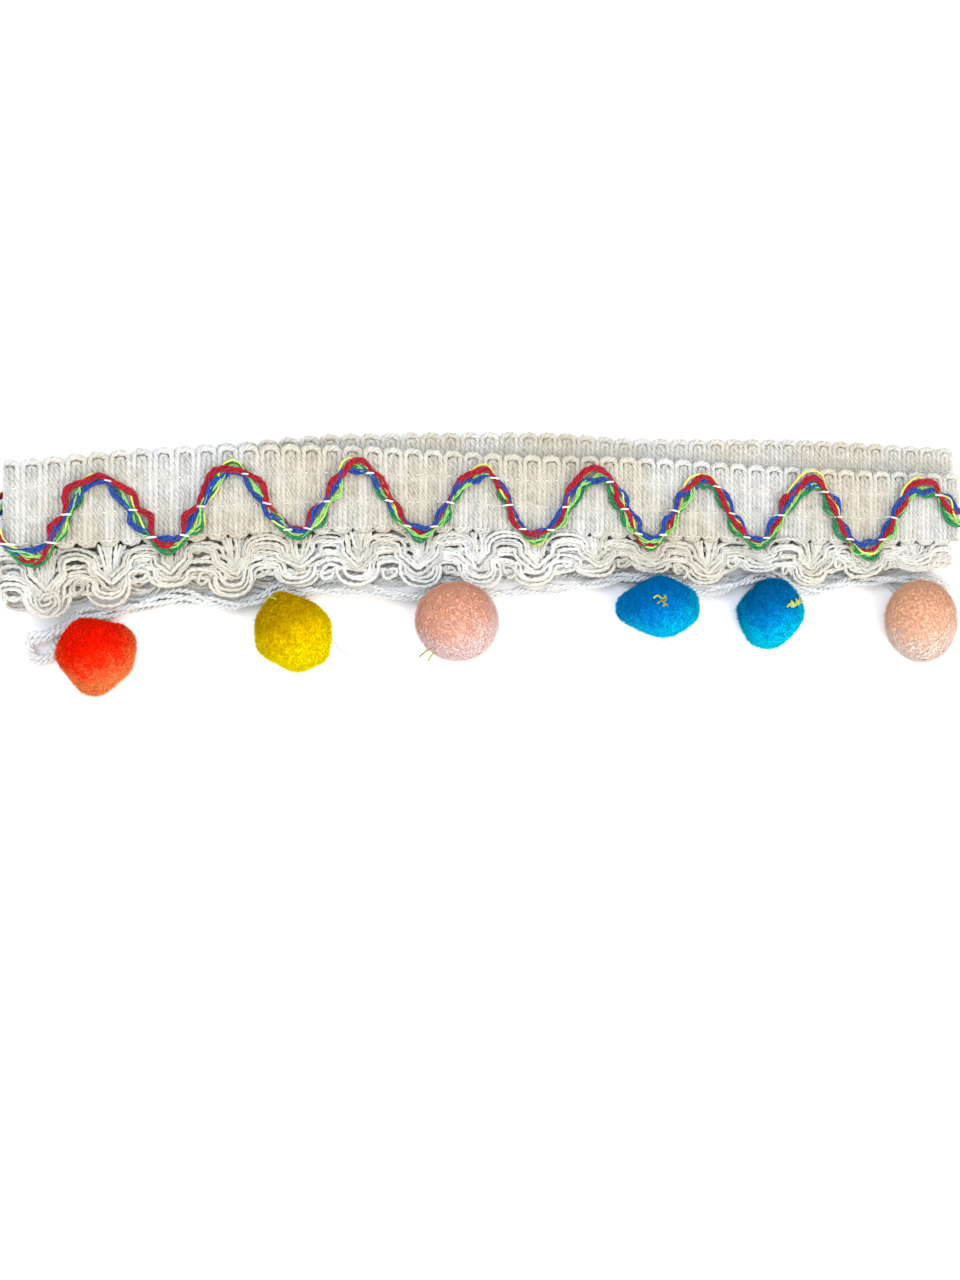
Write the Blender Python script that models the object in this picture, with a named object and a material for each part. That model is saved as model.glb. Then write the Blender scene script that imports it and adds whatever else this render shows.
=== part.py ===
"""Pom pom trim, folded back on itself once and lying flat.

A ribbed band with a picot edge carries a wavy braid on its face, a scroll fringe below it, and an
edge cord with six pompoms. The strip is laid out flat in (along, across, offset) and then folded:
"along" is measured from the fold, negative on the upper layer and positive on the lower one.
Units in the tables are millimetres; +X runs along the trim, +Y towards the picot edge, +Z up.
"""
import math
from typing import NamedTuple

import bmesh
import bpy
from mathutils import Vector, noise

MM = 0.001
GAP = 0.3                 # between neighbouring pieces
X_CUT = 104.5             # both layers are cut here, at the right end
FOLD_LEFT = -103.5        # the band's outermost point at the fold
TRIM_CENTRE = (-0.4, -0.44)   # middle of the finished trim, in the tables' x and y

# Band: plied ribs across, two to a picot
BAND_THICK = 1.5
RIB_PITCH = 2.125
RIB_RELIEF = 0.3          # a valley lies this much below its crest
RIBS_PER_PICOT = 2
RINGS_PER_RIB = 4
PICOT_HEIGHT = 1.4
LAYER_STEP = 2.3          # from the lower layer's middle to the upper one's
FOLD_BULGE = 2.4          # how far the upper layer rises at the fold
BULGE_REACH = 16.0
LAYER_WAVE = 0.7          # gentle rise and fall of the upper layer
LAYER_WAVE_LENGTH = 78.0
FOLD_STEP = 0.6           # between sections where a piece goes round the fold

# Wavy braid on the band's face; the lower layer rests on it
BRAID_GAP = 0.35
BRAID_WIDE = 3.2
BRAID_WIDE_AT_PEAK = 0.7
BRAID_PEAK_SLOPE = 4.0    # a step this steep has no extra width
BRAID_THICK = 1.4
BRAID_ROUND = 0.6         # how much fuller than a sine the bends are
BRAID_STEPS = 6           # sections in each half wave
BRAID_HALF_WAVE = 13.1
BRAID_BELOW_TOP = 5.0     # lower layer: peaks below the picot edge
BRAID_ABOVE_BOTTOM = 2.4  # lower layer: troughs above the band's bottom edge
BRAID_CUT_Y = 11.1
BRAID_SLACK = 0.5         # stands off this much more round the fold
BAND_LOW = BRAID_THICK + BRAID_GAP + BAND_THICK / 2
BAND_HIGH = BAND_LOW + LAYER_STEP
FOLD_RADIUS = (BAND_HIGH + FOLD_BULGE - BAND_LOW) / 2
FOLD_X = FOLD_LEFT + FOLD_RADIUS + BAND_THICK / 2

# Scroll fringe: one flat bundle of yarns, bent to and fro
FRINGE_HALF_WIDE = 2.05
FRINGE_SPREAD = 0.2       # wider at the arches, narrower at the turns
FRINGE_SPREAD_DEPTH = 4.0
FRINGE_THICK = 2.2
FRINGE_LOW = 1.1
FRINGE_HIGH = 4.4
FRINGE_ROUND = 1.0
FRINGE_STEPS = 5
FRINGE_PITCH = 12.6
FRINGE_DROP = 12.0        # lower layer: depth of the fringe below the band

# Edge cord
CORD_RADIUS = 0.8
CORD_LOW = 0.8
CORD_HIGH = 2.8
CORD_STEP = 3.4
CORD_END_DROPS = (1.6, -0.8)   # below its last knot at the cut end, upper and lower layer
CORD_LOOP_ROOM = (3.0, 5.0)    # from the loop to the next knot, upper and lower layer

# Flat bundles have a section of six corners: (share of the half width, share of the thickness)
BUNDLE_SECTION = ((1.0, 0.0), (0.66, 0.5), (-0.66, 0.5), (-1.0, 0.0), (-0.66, -0.5), (0.66, -0.5))

# A row for each place where the edge changes direction: x, picot edge y, bottom edge y
UPPER_EDGES = (
    (-103.5, 18.2, 0.4),
    (-78.5, 21.3, 2.0),
    (-50.5, 23.0, 4.0),
    (-27.5, 23.2, 5.4),
    (4.5, 22.3, 5.2),
    (30.5, 22.4, 4.5),
    (67.5, 21.2, 4.2),
    (104.5, 20.7, 4.4),
)
LOWER_EDGES = (
    (-103.5, 18.2, 0.4),
    (-78.5, 21.3, 2.6),
    (-54.0, 23.9, 5.6),
    (-38.0, 25.8, 7.8),
    (-10.5, 27.0, 9.2),
    (11.5, 27.5, 9.8),
    (27.0, 26.8, 9.2),
    (67.5, 27.6, 9.8),
    (104.5, 26.8, 9.4),
)
PICOT_EDGE = 1
BOTTOM_EDGE = 2

# A row for each bend of the upper layer's braid, from the fold: x, y
BRAID_BENDS = (
    (-97.8, -0.7),
    (-84.8, 14.9),
    (-71.4, 2.0),
    (-58.7, 17.5),
    (-45.5, 4.8),
    (-33.4, 18.5),
    (-19.7, 5.4),
    (-7.1, 18.5),
    (4.8, 4.7),
    (18.3, 18.1),
    (30.4, 4.2),
    (42.3, 18.0),
    (54.9, 4.4),
    (67.4, 17.7),
    (80.6, 2.9),
    (94.3, 17.4),
)

# A row for each lower turn of the upper layer's fringe, from the fold: x, lowest y
FRINGE_TURNS = (
    (-95.0, -13.4),
    (-82.3, -10.4),
    (-70.3, -7.4),
    (-57.9, -8.4),
    (-45.1, -6.0),
    (-32.5, -6.2),
    (-19.4, -6.5),
    (-6.7, -5.7),
    (5.5, -5.9),
    (18.5, -3.9),
    (31.2, -2.4),
    (43.8, -5.6),
    (56.8, -2.1),
    (68.8, -4.9),
    (81.4, -3.0),
    (93.2, -2.2),
)

# The edge cord's small loop at the fold, from the upper layer to the lower: x, y, z
CORD_LOOP = (
    (-94.5, -15.6, 2.8),
    (-98.6, -17.2, 2.2),
    (-97.2, -20.6, 1.3),
    (-93.4, -19.4, 0.8),
    (-90.6, -15.4, 0.8),
)


class Pompom(NamedTuple):
    """A pompom's place and form.

    Each lump is (direction in degrees from +X towards +Y, how far it stands out, how narrow it is).
    """

    name: str
    colour: tuple
    layer: str
    x: float
    y: float
    width: float
    height: float
    thick: float
    lumps: tuple


POMPOMS = (
    Pompom("pompom_orange", (0.95, 0.06, 0.01), "upper", -85.1, -20.0, 15.2, 15.4, 14.0,
           ((-95, 0.10, 7), (25, 0.10, 9), (92, -0.07, 14), (160, 0.03, 6), (-30, -0.03, 6))),
    Pompom("pompom_yellow", (0.80, 0.52, 0.01), "lower", -46.4, -15.2, 15.5, 17.0, 14.5,
           ((135, 0.06, 12), (-85, 0.07, 7), (-25, 0.05, 8), (-150, -0.05, 5), (70, -0.03, 8))),
    Pompom("pompom_pink", (0.85, 0.42, 0.33), "upper", -12.2, -13.1, 17.5, 16.6, 15.5,
           ((-60, 0.02, 5), (170, 0.02, 8))),
    Pompom("pompom_blue_left", (0.01, 0.22, 0.62), "lower", 32.4, -10.0, 18.1, 13.1, 13.0,
           ((190, 0.05, 8), (-50, 0.03, 6), (-140, -0.04, 6))),
    Pompom("pompom_blue_right", (0.01, 0.22, 0.62), "upper", 58.1, -11.1, 14.8, 15.7, 13.5,
           ((8, 0.07, 14), (-32, -0.07, 14), (28, -0.10, 16), (-115, 0.03, 6), (150, 0.03, 8))),
    Pompom("pompom_peach", (0.92, 0.50, 0.34), "lower", 94.2, -12.7, 16.2, 18.5, 15.0,
           ((-70, 0.02, 5), (110, -0.02, 6))),
)
POMPOM_DETAIL = 3
POMPOM_GRAIN = 0.012      # unevenness of the clipped pile
POMPOM_GRAIN_SCALE = 2.4
POMPOM_FLAT = 0.03        # share of the thickness pressed flat where it rests
POMPOM_TRIES = 4          # rounds that settle where the lumpy outline lies

LINEN = (0.66, 0.63, 0.56)
BRAID_COLOUR = (0.20, 0.06, 0.10)
COTTON = (0.72, 0.70, 0.66)


def clear_scene():
    """Removes whatever the opened file holds."""
    for item in list(bpy.data.objects):
        bpy.data.objects.remove(item, do_unlink=True)


def material(name, colour, roughness=0.9):
    """Makes a Principled material of one colour."""
    made = bpy.data.materials.new(name)
    made.use_nodes = True
    shader = made.node_tree.nodes["Principled BSDF"]
    shader.inputs["Base Color"].default_value = (*colour, 1.0)
    shader.inputs["Roughness"].default_value = roughness
    shader.inputs["Metallic"].default_value = 0.0
    return made


def smooth_step(before, start, end, after, t):
    """Gives a share t of the way from start to end, on a smooth curve through all four."""
    bend = 2 * before - 5 * start + 4 * end - after
    return start + 0.5 * t * ((end - before) + t * (bend + t * (3 * (start - end) + after - before)))


def along_rows(rows, x, column):
    """Reads a column of a table at x, on a smooth curve through its rows."""
    last = len(rows) - 1
    i = 0
    while i < last - 1 and rows[i + 1][0] < x:
        i += 1
    t = min(max((x - rows[i][0]) / (rows[i + 1][0] - rows[i][0]), 0.0), 1.0)
    near = (rows[max(i - 1, 0)], rows[i], rows[i + 1], rows[min(i + 2, last)])
    return smooth_step(*(row[column] for row in near), t)


def rise(x):
    """Gives how far the upper layer lies above its resting height at x."""
    near_fold = math.exp(-(max(x - FOLD_X, 0.0) / BULGE_REACH) ** 2)
    wave = 0.5 - 0.5 * math.cos(2 * math.pi * (x - FOLD_X) / LAYER_WAVE_LENGTH)
    return FOLD_BULGE * near_fold + LAYER_WAVE * wave * (1.0 - near_fold)


class Layers:
    """Folds a flat piece whose lower and upper layers lie at two heights.

    slack is how much further the piece stands off halfway round the fold.
    """

    def __init__(self, low, high, slack=0.0):
        self.low = low
        self.high = high
        self.slack = slack
        self.radius = (high + FOLD_BULGE - low) / 2
        self.quarter = self.radius * math.pi / 2

    def along(self, x, layer):
        """Gives the distance from the fold of a point at x on a layer."""
        reach = x - FOLD_X + self.quarter
        return -reach if layer == "upper" else reach

    def x_of(self, along):
        """Gives the x at which an edge table is read."""
        return FOLD_X + max(abs(along) - self.quarter, 0.0)

    def point(self, along, y, offset):
        """Gives the folded place of a point, in metres; offset is towards the strip's face."""
        if along < -self.quarter:
            x = self.x_of(along)
            return Vector((x, y, self.high + rise(x) + offset)) * MM
        if along > self.quarter:
            return Vector((self.x_of(along), y, self.low - offset)) * MM
        angle = along / self.radius
        across = (self.radius + offset + self.slack) * math.cos(angle)
        middle = (self.high + FOLD_BULGE + self.low) / 2
        return Vector((FOLD_X - across, y, middle - (self.radius + offset) * math.sin(angle))) * MM


def edge(along, layers, column):
    """Gives the band's picot edge or bottom edge along the strip."""
    rows = UPPER_EDGES if along < 0 else LOWER_EDGES
    return along_rows(rows, layers.x_of(along), column)


def add_object(name, mesh, colour, collection):
    """Puts a mesh in the trim's collection with a material of its own."""
    item = bpy.data.objects.new(name, mesh)
    mesh.materials.append(material(name, colour))
    collection.objects.link(item)
    return item


def loft(name, rings, colour, collection):
    """Makes one closed solid through a row of closed sections."""
    form = bmesh.new()
    rows = [[form.verts.new(place) for place in ring] for ring in rings]
    for here, there in zip(rows, rows[1:]):
        for i in range(len(here)):
            j = (i + 1) % len(here)
            form.faces.new((here[i], here[j], there[j], there[i]))
    form.faces.new(list(reversed(rows[0])))
    form.faces.new(rows[-1])
    bmesh.ops.recalc_face_normals(form, faces=form.faces)
    mesh = bpy.data.meshes.new(name)
    form.to_mesh(mesh)
    form.free()
    return add_object(name, mesh, colour, collection)


def bent_path(bends, roundness, steps):
    """Runs a smooth to-and-fro line through bends given as (along, y) in order."""
    path = []
    for (start, y_start), (end, y_end) in zip(bends, bends[1:]):
        for step in range(steps):
            angle = math.pi * step / steps
            along = start + (end - start) * step / steps
            along += roundness * math.sin(2 * angle) * math.copysign(1.0, end - start)
            path.append((along, y_start + (y_end - y_start) * (1 - math.cos(angle)) / 2))
    path.append(bends[-1])
    return path


def finer_at_fold(path, layers):
    """Adds points where the path goes round the fold, so that it follows the curve."""
    finer = []
    for here, there in zip(path, path[1:]):
        near = min(abs(here[0]), abs(there[0])) < layers.quarter or here[0] * there[0] < 0
        pieces = math.ceil(abs(there[0] - here[0]) / FOLD_STEP) if near else 1
        for k in range(pieces):
            t = k / pieces
            finer.append((here[0] + (there[0] - here[0]) * t, here[1] + (there[1] - here[1]) * t))
    finer.append(path[-1])
    return finer


def flat_tube(path, layers, half_wide, thick, offset=0.0):
    """Lays flat sections along a path; half_wide is a function of the path's index."""
    rings = []
    last = len(path) - 1
    for i, (along, y) in enumerate(path):
        before = path[max(i - 1, 0)]
        after = path[min(i + 1, last)]
        way = Vector((after[0] - before[0], after[1] - before[1])).normalized()
        side = Vector((-way.y, way.x)) * half_wide(i)
        rings.append([layers.point(along + side.x * a, y + side.y * a, offset + thick * b)
                      for a, b in BUNDLE_SECTION])
    return rings


def build_band(collection):
    """The ribbed band: a rounded crest for each rib, and a scallop for each picot."""
    layers = Layers(BAND_LOW, BAND_HIGH)
    end = layers.along(X_CUT, "lower")
    ribs = round(2 * end / RIB_PITCH)
    rings = []
    for i in range(RINGS_PER_RIB * ribs + 1):
        rib = i / RINGS_PER_RIB
        along = -end + 2 * end * rib / ribs
        valley = RIB_RELIEF * (1.0 - abs(math.sin(math.pi * rib)))
        half = BAND_THICK / 2 - valley
        picot = PICOT_HEIGHT * (abs(math.sin(math.pi * rib / RIBS_PER_PICOT)) - 1.0)
        top = edge(along, layers, PICOT_EDGE) + picot
        bottom = edge(along, layers, BOTTOM_EDGE) + valley
        rings.append([layers.point(along, y, offset)
                      for y, offset in ((top, half), (top, -half), (bottom, -half), (bottom, half))])
    return loft("band", rings, LINEN, collection)


def build_braid(collection):
    """The wavy braid on the face of both layers, round the fold."""
    layers = Layers(BAND_LOW, BAND_HIGH, BRAID_SLACK)
    bends = [(layers.along(X_CUT, "upper"), BRAID_CUT_Y)]
    bends += [(layers.along(x, "upper"), y) for x, y in reversed(BRAID_BENDS)]
    end = layers.along(X_CUT, "lower")
    along = bends[-1][0] + BRAID_HALF_WAVE
    is_peak = True
    while along < end - BRAID_HALF_WAVE / 3:
        if is_peak:
            bends.append((along, edge(along, layers, PICOT_EDGE) - BRAID_BELOW_TOP))
        else:
            bends.append((along, edge(along, layers, BOTTOM_EDGE) + BRAID_ABOVE_BOTTOM))
        is_peak = not is_peak
        along += BRAID_HALF_WAVE
    path = [point for point in bent_path(bends, BRAID_ROUND, BRAID_STEPS) if abs(point[0]) <= end]
    path = finer_at_fold(path, layers)

    def half_wide(i):
        slope = abs(path[min(i + 1, len(path) - 1)][1] - path[max(i - 1, 0)][1])
        return (BRAID_WIDE + BRAID_WIDE_AT_PEAK * max(0.0, 1.0 - slope / BRAID_PEAK_SLOPE)) / 2

    offset = BAND_THICK / 2 + BRAID_GAP + BRAID_THICK / 2
    rings = flat_tube(path, layers, half_wide, BRAID_THICK, offset)
    return loft("wavy_braid", rings, BRAID_COLOUR, collection)


def lower_turns():
    """Gives the lower turns of the lower layer's fringe, as rows of x and lowest y."""
    layers = Layers(FRINGE_LOW, FRINGE_HIGH)
    along = layers.along(FRINGE_TURNS[0][0], "upper") + FRINGE_PITCH
    rows = []
    while layers.x_of(along) < X_CUT - FRINGE_PITCH / 2:
        x = layers.x_of(along)
        rows.append((x, along_rows(LOWER_EDGES, x, BOTTOM_EDGE) - FRINGE_DROP))
        along += FRINGE_PITCH
    return rows


def build_fringe(collection):
    """The scroll fringe: arches up to the band and turns below, round the fold."""
    layers = Layers(FRINGE_LOW, FRINGE_HIGH)
    turns = [(layers.along(x, "upper"), y) for x, y in reversed(FRINGE_TURNS)]
    turns += [(layers.along(x, "lower"), y) for x, y in lower_turns()]
    arch_below = GAP + FRINGE_HALF_WIDE + FRINGE_SPREAD
    end = layers.along(X_CUT, "lower") - FRINGE_HALF_WIDE - GAP
    bends = [(-end, edge(-end, layers, BOTTOM_EDGE) - arch_below)]
    for i, (along, lowest) in enumerate(turns):
        bends.append((along, lowest + FRINGE_HALF_WIDE - FRINGE_SPREAD))
        arch = (along + turns[i + 1][0]) / 2 if i + 1 < len(turns) else end
        bends.append((arch, edge(arch, layers, BOTTOM_EDGE) - arch_below))
    path = finer_at_fold(bent_path(bends, FRINGE_ROUND, FRINGE_STEPS), layers)

    def half_wide(i):
        along, y = path[i]
        depth = edge(along, layers, BOTTOM_EDGE) - arch_below - y
        return FRINGE_HALF_WIDE + FRINGE_SPREAD * max(-1.0, 1.0 - depth / FRINGE_SPREAD_DEPTH)

    return loft("scroll_fringe", flat_tube(path, layers, half_wide, FRINGE_THICK), COTTON, collection)


def pompom_size(ball, way):
    """Gives how far a pompom's pile stands out in a direction, as a share of its round form."""
    size = 1.0 + POMPOM_GRAIN * noise.noise(way * POMPOM_GRAIN_SCALE + Vector((ball.x, ball.y, 0.0)))
    for degrees, stands_out, narrow in ball.lumps:
        toward = Vector((math.cos(math.radians(degrees)), math.sin(math.radians(degrees)), 0.0))
        size += stands_out * math.exp(-narrow * (1.0 - way.dot(toward)))
    return size


def pompom_reach(ball, x, z):
    """Gives the y of a pompom's upper side at x and z, or None where it doesn't reach."""
    across = (x - ball.x) / (ball.width / 2)
    up = (z + ball.thick * POMPOM_FLAT - ball.thick / 2) / (ball.thick / 2)
    size = 1.0
    for _ in range(POMPOM_TRIES):
        inside = size * size - across * across - up * up
        if inside <= 0:
            return None
        size = pompom_size(ball, Vector((across, math.sqrt(inside), up)).normalized())
    return ball.y + ball.height / 2 * math.sqrt(max(size * size - across * across - up * up, 0.0))


def cord_knots(turns, layer, z):
    """Gives the points that the edge cord passes: under each turn and over each pompom."""
    carried = [ball for ball in POMPOMS if ball.layer == layer]
    knots = [(ball.x, pompom_reach(ball, ball.x, z) + GAP + CORD_RADIUS, z) for ball in carried]
    for x, lowest in turns:
        if all(abs(x - ball.x) > FRINGE_PITCH / 4 for ball in carried):
            knots.append((x, lowest - GAP - CORD_RADIUS, z))
    return sorted(knots)


def clear_of_pompoms(place):
    """Moves a point of the cord's line up until the cord clears the pompoms below it."""
    for ball in POMPOMS:
        reach = pompom_reach(ball, place.x, place.z + CORD_RADIUS * math.sqrt(0.5))
        if reach is not None and place.y > ball.y:
            place.y = max(place.y, reach + GAP + CORD_RADIUS)
    return place


def smooth_line(knots, step):
    """Samples a smooth curve through knots, at about equal steps."""
    line = []
    knots = [Vector(knot) for knot in knots]
    for i, (start, end) in enumerate(zip(knots, knots[1:])):
        before = knots[max(i - 1, 0)]
        after = knots[min(i + 2, len(knots) - 1)]
        pieces = max(1, round((end - start).length / step))
        line += [smooth_step(before, start, end, after, k / pieces) for k in range(pieces)]
    line.append(knots[-1])
    return line


def build_cord(collection):
    """The edge cord: along the upper layer, round a small loop at the fold, and back below."""
    upper = cord_knots(FRINGE_TURNS, "upper", CORD_HIGH)
    lower = cord_knots(lower_turns(), "lower", CORD_LOW)
    start = (X_CUT - CORD_RADIUS, upper[-1][1] - CORD_END_DROPS[0], CORD_HIGH)
    finish = (X_CUT - CORD_RADIUS, lower[-1][1] - CORD_END_DROPS[1], CORD_LOW)
    inner = [knot for knot in reversed(upper) if knot[0] > CORD_LOOP[0][0] + CORD_LOOP_ROOM[0]]
    outer = [knot for knot in lower if knot[0] > CORD_LOOP[-1][0] + CORD_LOOP_ROOM[1]]
    route = smooth_line([start, *inner, *CORD_LOOP, *outer, finish], CORD_STEP)
    route = [clear_of_pompoms(place) for place in route]
    curve = bpy.data.curves.new("edge_cord", "CURVE")
    curve.dimensions = "3D"
    curve.bevel_depth = CORD_RADIUS * MM
    curve.bevel_resolution = 1
    curve.use_fill_caps = True
    curve.resolution_u = 1
    curve.render_resolution_u = 0
    spline = curve.splines.new("POLY")
    spline.points.add(len(route) - 1)
    for point, place in zip(spline.points, route):
        point.co = (*(place * MM), 1.0)
    curve.materials.append(material("edge_cord", COTTON))
    item = bpy.data.objects.new("edge_cord", curve)
    collection.objects.link(item)
    return item


def build_pompom(ball, collection):
    """A clipped yarn ball with the lumps of its outline, flat where it rests."""
    centre = Vector((ball.x, ball.y, ball.thick / 2 - ball.thick * POMPOM_FLAT))
    form = bmesh.new()
    bmesh.ops.create_icosphere(form, subdivisions=POMPOM_DETAIL, radius=1.0)
    for vert in form.verts:
        way = vert.co.normalized()
        reach = Vector((way.x * ball.width, way.y * ball.height, way.z * ball.thick)) / 2
        place = centre + reach * pompom_size(ball, way)
        place.z = max(place.z, 0.0)
        vert.co = place * MM
    mesh = bpy.data.meshes.new(ball.name)
    form.to_mesh(mesh)
    form.free()
    mesh.shade_smooth()
    return add_object(ball.name, mesh, ball.colour, collection)


def main():
    """Builds every piece of the trim."""
    clear_scene()
    collection = bpy.data.collections.new("pom_pom_trim")
    bpy.context.scene.collection.children.link(collection)
    build_band(collection)
    build_braid(collection)
    build_fringe(collection)
    build_cord(collection)
    for ball in POMPOMS:
        build_pompom(ball, collection)
    for item in collection.objects:
        item.location = (-TRIM_CENTRE[0] * MM, -TRIM_CENTRE[1] * MM, 0.0)
    bpy.context.view_layer.update()


main()
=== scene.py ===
"""Looks of a folded pom pom trim: plied cotton ribs, a wavy braid, a scroll fringe, cords and pompoms.

Tables are in millimetres in the trim's own frame: +X along the trim, +Y towards the picot edge, +Z up
from the table. The strip is described flat, as (along, across, offset), and then folded. "Along" is
measured from the fold: negative on the upper layer, positive on the lower one.
"""
import logging
import math
from collections.abc import Callable, Iterable, Sequence
from dataclasses import dataclass, field
from enum import Enum
from functools import partial
from random import Random
from typing import TypeVar

import bmesh
import bpy
import numpy as np
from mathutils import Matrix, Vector, noise


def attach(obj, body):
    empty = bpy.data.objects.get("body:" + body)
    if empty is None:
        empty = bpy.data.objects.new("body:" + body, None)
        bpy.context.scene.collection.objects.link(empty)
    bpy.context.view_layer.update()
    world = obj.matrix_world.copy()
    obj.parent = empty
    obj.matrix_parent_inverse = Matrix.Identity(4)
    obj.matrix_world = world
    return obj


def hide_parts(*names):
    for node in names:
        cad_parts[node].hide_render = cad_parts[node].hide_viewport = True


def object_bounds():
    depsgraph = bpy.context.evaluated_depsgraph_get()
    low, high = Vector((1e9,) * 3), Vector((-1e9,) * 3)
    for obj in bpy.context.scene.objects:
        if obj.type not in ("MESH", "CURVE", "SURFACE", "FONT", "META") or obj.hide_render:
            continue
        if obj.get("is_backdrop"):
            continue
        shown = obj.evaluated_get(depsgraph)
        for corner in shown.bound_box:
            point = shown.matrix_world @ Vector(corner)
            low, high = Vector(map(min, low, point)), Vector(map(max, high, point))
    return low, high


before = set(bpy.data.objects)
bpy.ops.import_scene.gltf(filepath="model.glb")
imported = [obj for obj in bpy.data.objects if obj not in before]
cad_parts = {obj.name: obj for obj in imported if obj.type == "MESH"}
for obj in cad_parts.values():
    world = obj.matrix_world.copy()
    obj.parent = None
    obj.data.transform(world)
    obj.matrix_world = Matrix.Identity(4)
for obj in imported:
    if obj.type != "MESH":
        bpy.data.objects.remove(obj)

log = logging.getLogger("trim")

Point = TypeVar("Point", float, Vector)

MM = 0.001
TURN = 2 * math.pi
SHIFT = Vector((0.4, 0.44, 0.0))   # from the tables' x and y to the trim's middle
X_CUT = 104.5                      # x of the cut ends
BAND_LOW = 2.5                     # height of the lower layer's middle
BAND_HIGH = 4.8                    # and of the upper layer's
FOLD_X = -100.4                    # where the layers start to turn
FOLD_BULGE = 2.4                   # how much higher the upper layer lies there
BULGE_REACH = 16.0                 # and how far along it still does
LAYER_WAVE = 0.7                   # height of the upper layer's slow waves
LAYER_WAVE_LENGTH = 78.0
LOWEST = 0.5                       # lowest a yarn's middle lies above the table
PILE_FOOT = 0.75                   # lowest a pompom's core lies, so that its fibres end on the table
NOISE_SEED = 1796125016            # fixes noise_vector, which Blender seeds from the clock otherwise
PICOT_EDGE = 1                     # columns of the edge tables
BOTTOM_EDGE = 2

# The layers' edges: x, y of the picot edge, y of the bottom edge.
UPPER_EDGES = ((-103.5, 18.2, 0.4), (-78.5, 21.3, 2.0), (-50.5, 23.0, 4.0), (-27.5, 23.2, 5.4),
               (4.5, 22.3, 5.2), (30.5, 22.4, 4.5), (67.5, 21.2, 4.2), (104.5, 20.7, 4.4))
LOWER_EDGES = ((-103.5, 18.2, 0.4), (-78.5, 21.3, 2.6), (-54.0, 23.9, 5.6), (-38.0, 25.8, 7.8),
               (-10.5, 27.0, 9.2), (11.5, 27.5, 9.8), (27.0, 26.8, 9.2), (67.5, 27.6, 9.8),
               (104.5, 26.8, 9.4))
# The upper layer, from the fold to the cut end: x and y of the braid's bends and of the fringe's
# lowest turns, and the loop that the cord makes beside the orange pompom.
BRAID_BENDS = ((-97.8, -0.7), (-84.8, 14.9), (-71.4, 2.0), (-58.7, 17.5), (-45.5, 4.8),
               (-33.4, 18.5), (-19.7, 5.4), (-7.1, 18.5), (4.8, 4.7), (18.3, 18.1), (30.4, 4.2),
               (42.3, 18.0), (54.9, 4.4), (67.4, 17.7), (80.6, 2.9), (94.3, 17.4))
FRINGE_TURNS = ((-95.0, -13.4), (-82.3, -10.4), (-70.3, -7.4), (-57.9, -8.4), (-45.1, -6.0),
                (-32.5, -6.2), (-19.4, -6.5), (-6.7, -5.7), (5.5, -5.9), (18.5, -3.9),
                (31.2, -2.4), (43.8, -5.6), (56.8, -2.1), (68.8, -4.9), (81.4, -3.0), (93.2, -2.2))
CORD_LOOP = ((-94.5, -15.6, 2.8), (-98.6, -17.2, 2.2), (-97.2, -20.6, 1.3), (-93.4, -19.4, 0.8),
             (-90.6, -15.4, 0.8))


class Side(Enum):
    """The two layers of the folded strip."""

    UPPER = -1
    LOWER = 1


def linear(colour: str) -> tuple[float, float, float, float]:
    """Turns an sRGB hex colour to linear.

    Args:
        colour: Six hex digits.

    Returns:
        Red, green, blue and alpha from 0 to 1.
    """
    shares = [int(colour[i:i + 2], 16) / 255 for i in (0, 2, 4)]
    return (*(s / 12.92 if s <= 0.04045 else ((s + 0.055) / 1.055) ** 2.4 for s in shares), 1.0)


def add_node(tree: bpy.types.NodeTree, kind: str, links: dict | None = None,
             **settings: object) -> bpy.types.Node:
    """Adds a node with its settings and links.

    Args:
        tree: The node tree.
        kind: The node's type name.
        links: A value, socket or node (its first output) for each input, by name or index.
        settings: The node's own properties.

    Returns:
        The new node.
    """
    node = tree.nodes.new(kind)
    for key, value in settings.items():
        setattr(node, key, value)
    for socket, value in (links or {}).items():
        if isinstance(value, bpy.types.Node):
            value = value.outputs[0]
        if isinstance(value, bpy.types.NodeSocket):
            tree.links.new(value, node.inputs[socket])
        else:
            node.inputs[socket].default_value = value
    return node


def smooth_step(before: Point, start: Point, end: Point, after: Point, t: float) -> Point:
    """Gives a share t of the way from start to end, on a smooth curve through all four."""
    bend = 2 * before - 5 * start + 4 * end - after
    return start + 0.5 * t * ((end - before) + t * (bend + t * (3 * (start - end) + after - before)))


def along_rows(rows: Sequence[tuple], x: float, column: int) -> float:
    """Reads a column of a table at x, on a smooth curve through its rows.

    Args:
        rows: The table, in order of its first column.
        x: Where it is read.
        column: Which column is read.

    Returns:
        The value there.
    """
    last = len(rows) - 1
    i = 0
    while i < last - 1 and rows[i + 1][0] < x:
        i += 1
    t = min(max((x - rows[i][0]) / (rows[i + 1][0] - rows[i][0]), 0.0), 1.0)
    near = (rows[max(i - 1, 0)], rows[i], rows[i + 1], rows[min(i + 2, last)])
    return smooth_step(*(row[column] for row in near), t)


def smooth_line(knots: Sequence[Vector], count: Callable[[float], int]) -> list[Vector]:
    """Runs a smooth line through points.

    Args:
        knots: The points.
        count: How many steps a stretch has, given its length.

    Returns:
        The line's points.
    """
    line = []
    for i, (here, there) in enumerate(zip(knots, knots[1:])):
        before, after = knots[max(i - 1, 0)], knots[min(i + 2, len(knots) - 1)]
        steps = count((there - here).length)
        line += [smooth_step(before, here, there, after, k / steps) for k in range(steps)]
    return [*line, knots[-1]]


def heading(degrees: float) -> Vector:
    """Gives the level unit vector that points so many degrees from +X towards +Y."""
    return Vector((math.cos(math.radians(degrees)), math.sin(math.radians(degrees)), 0.0))


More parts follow.
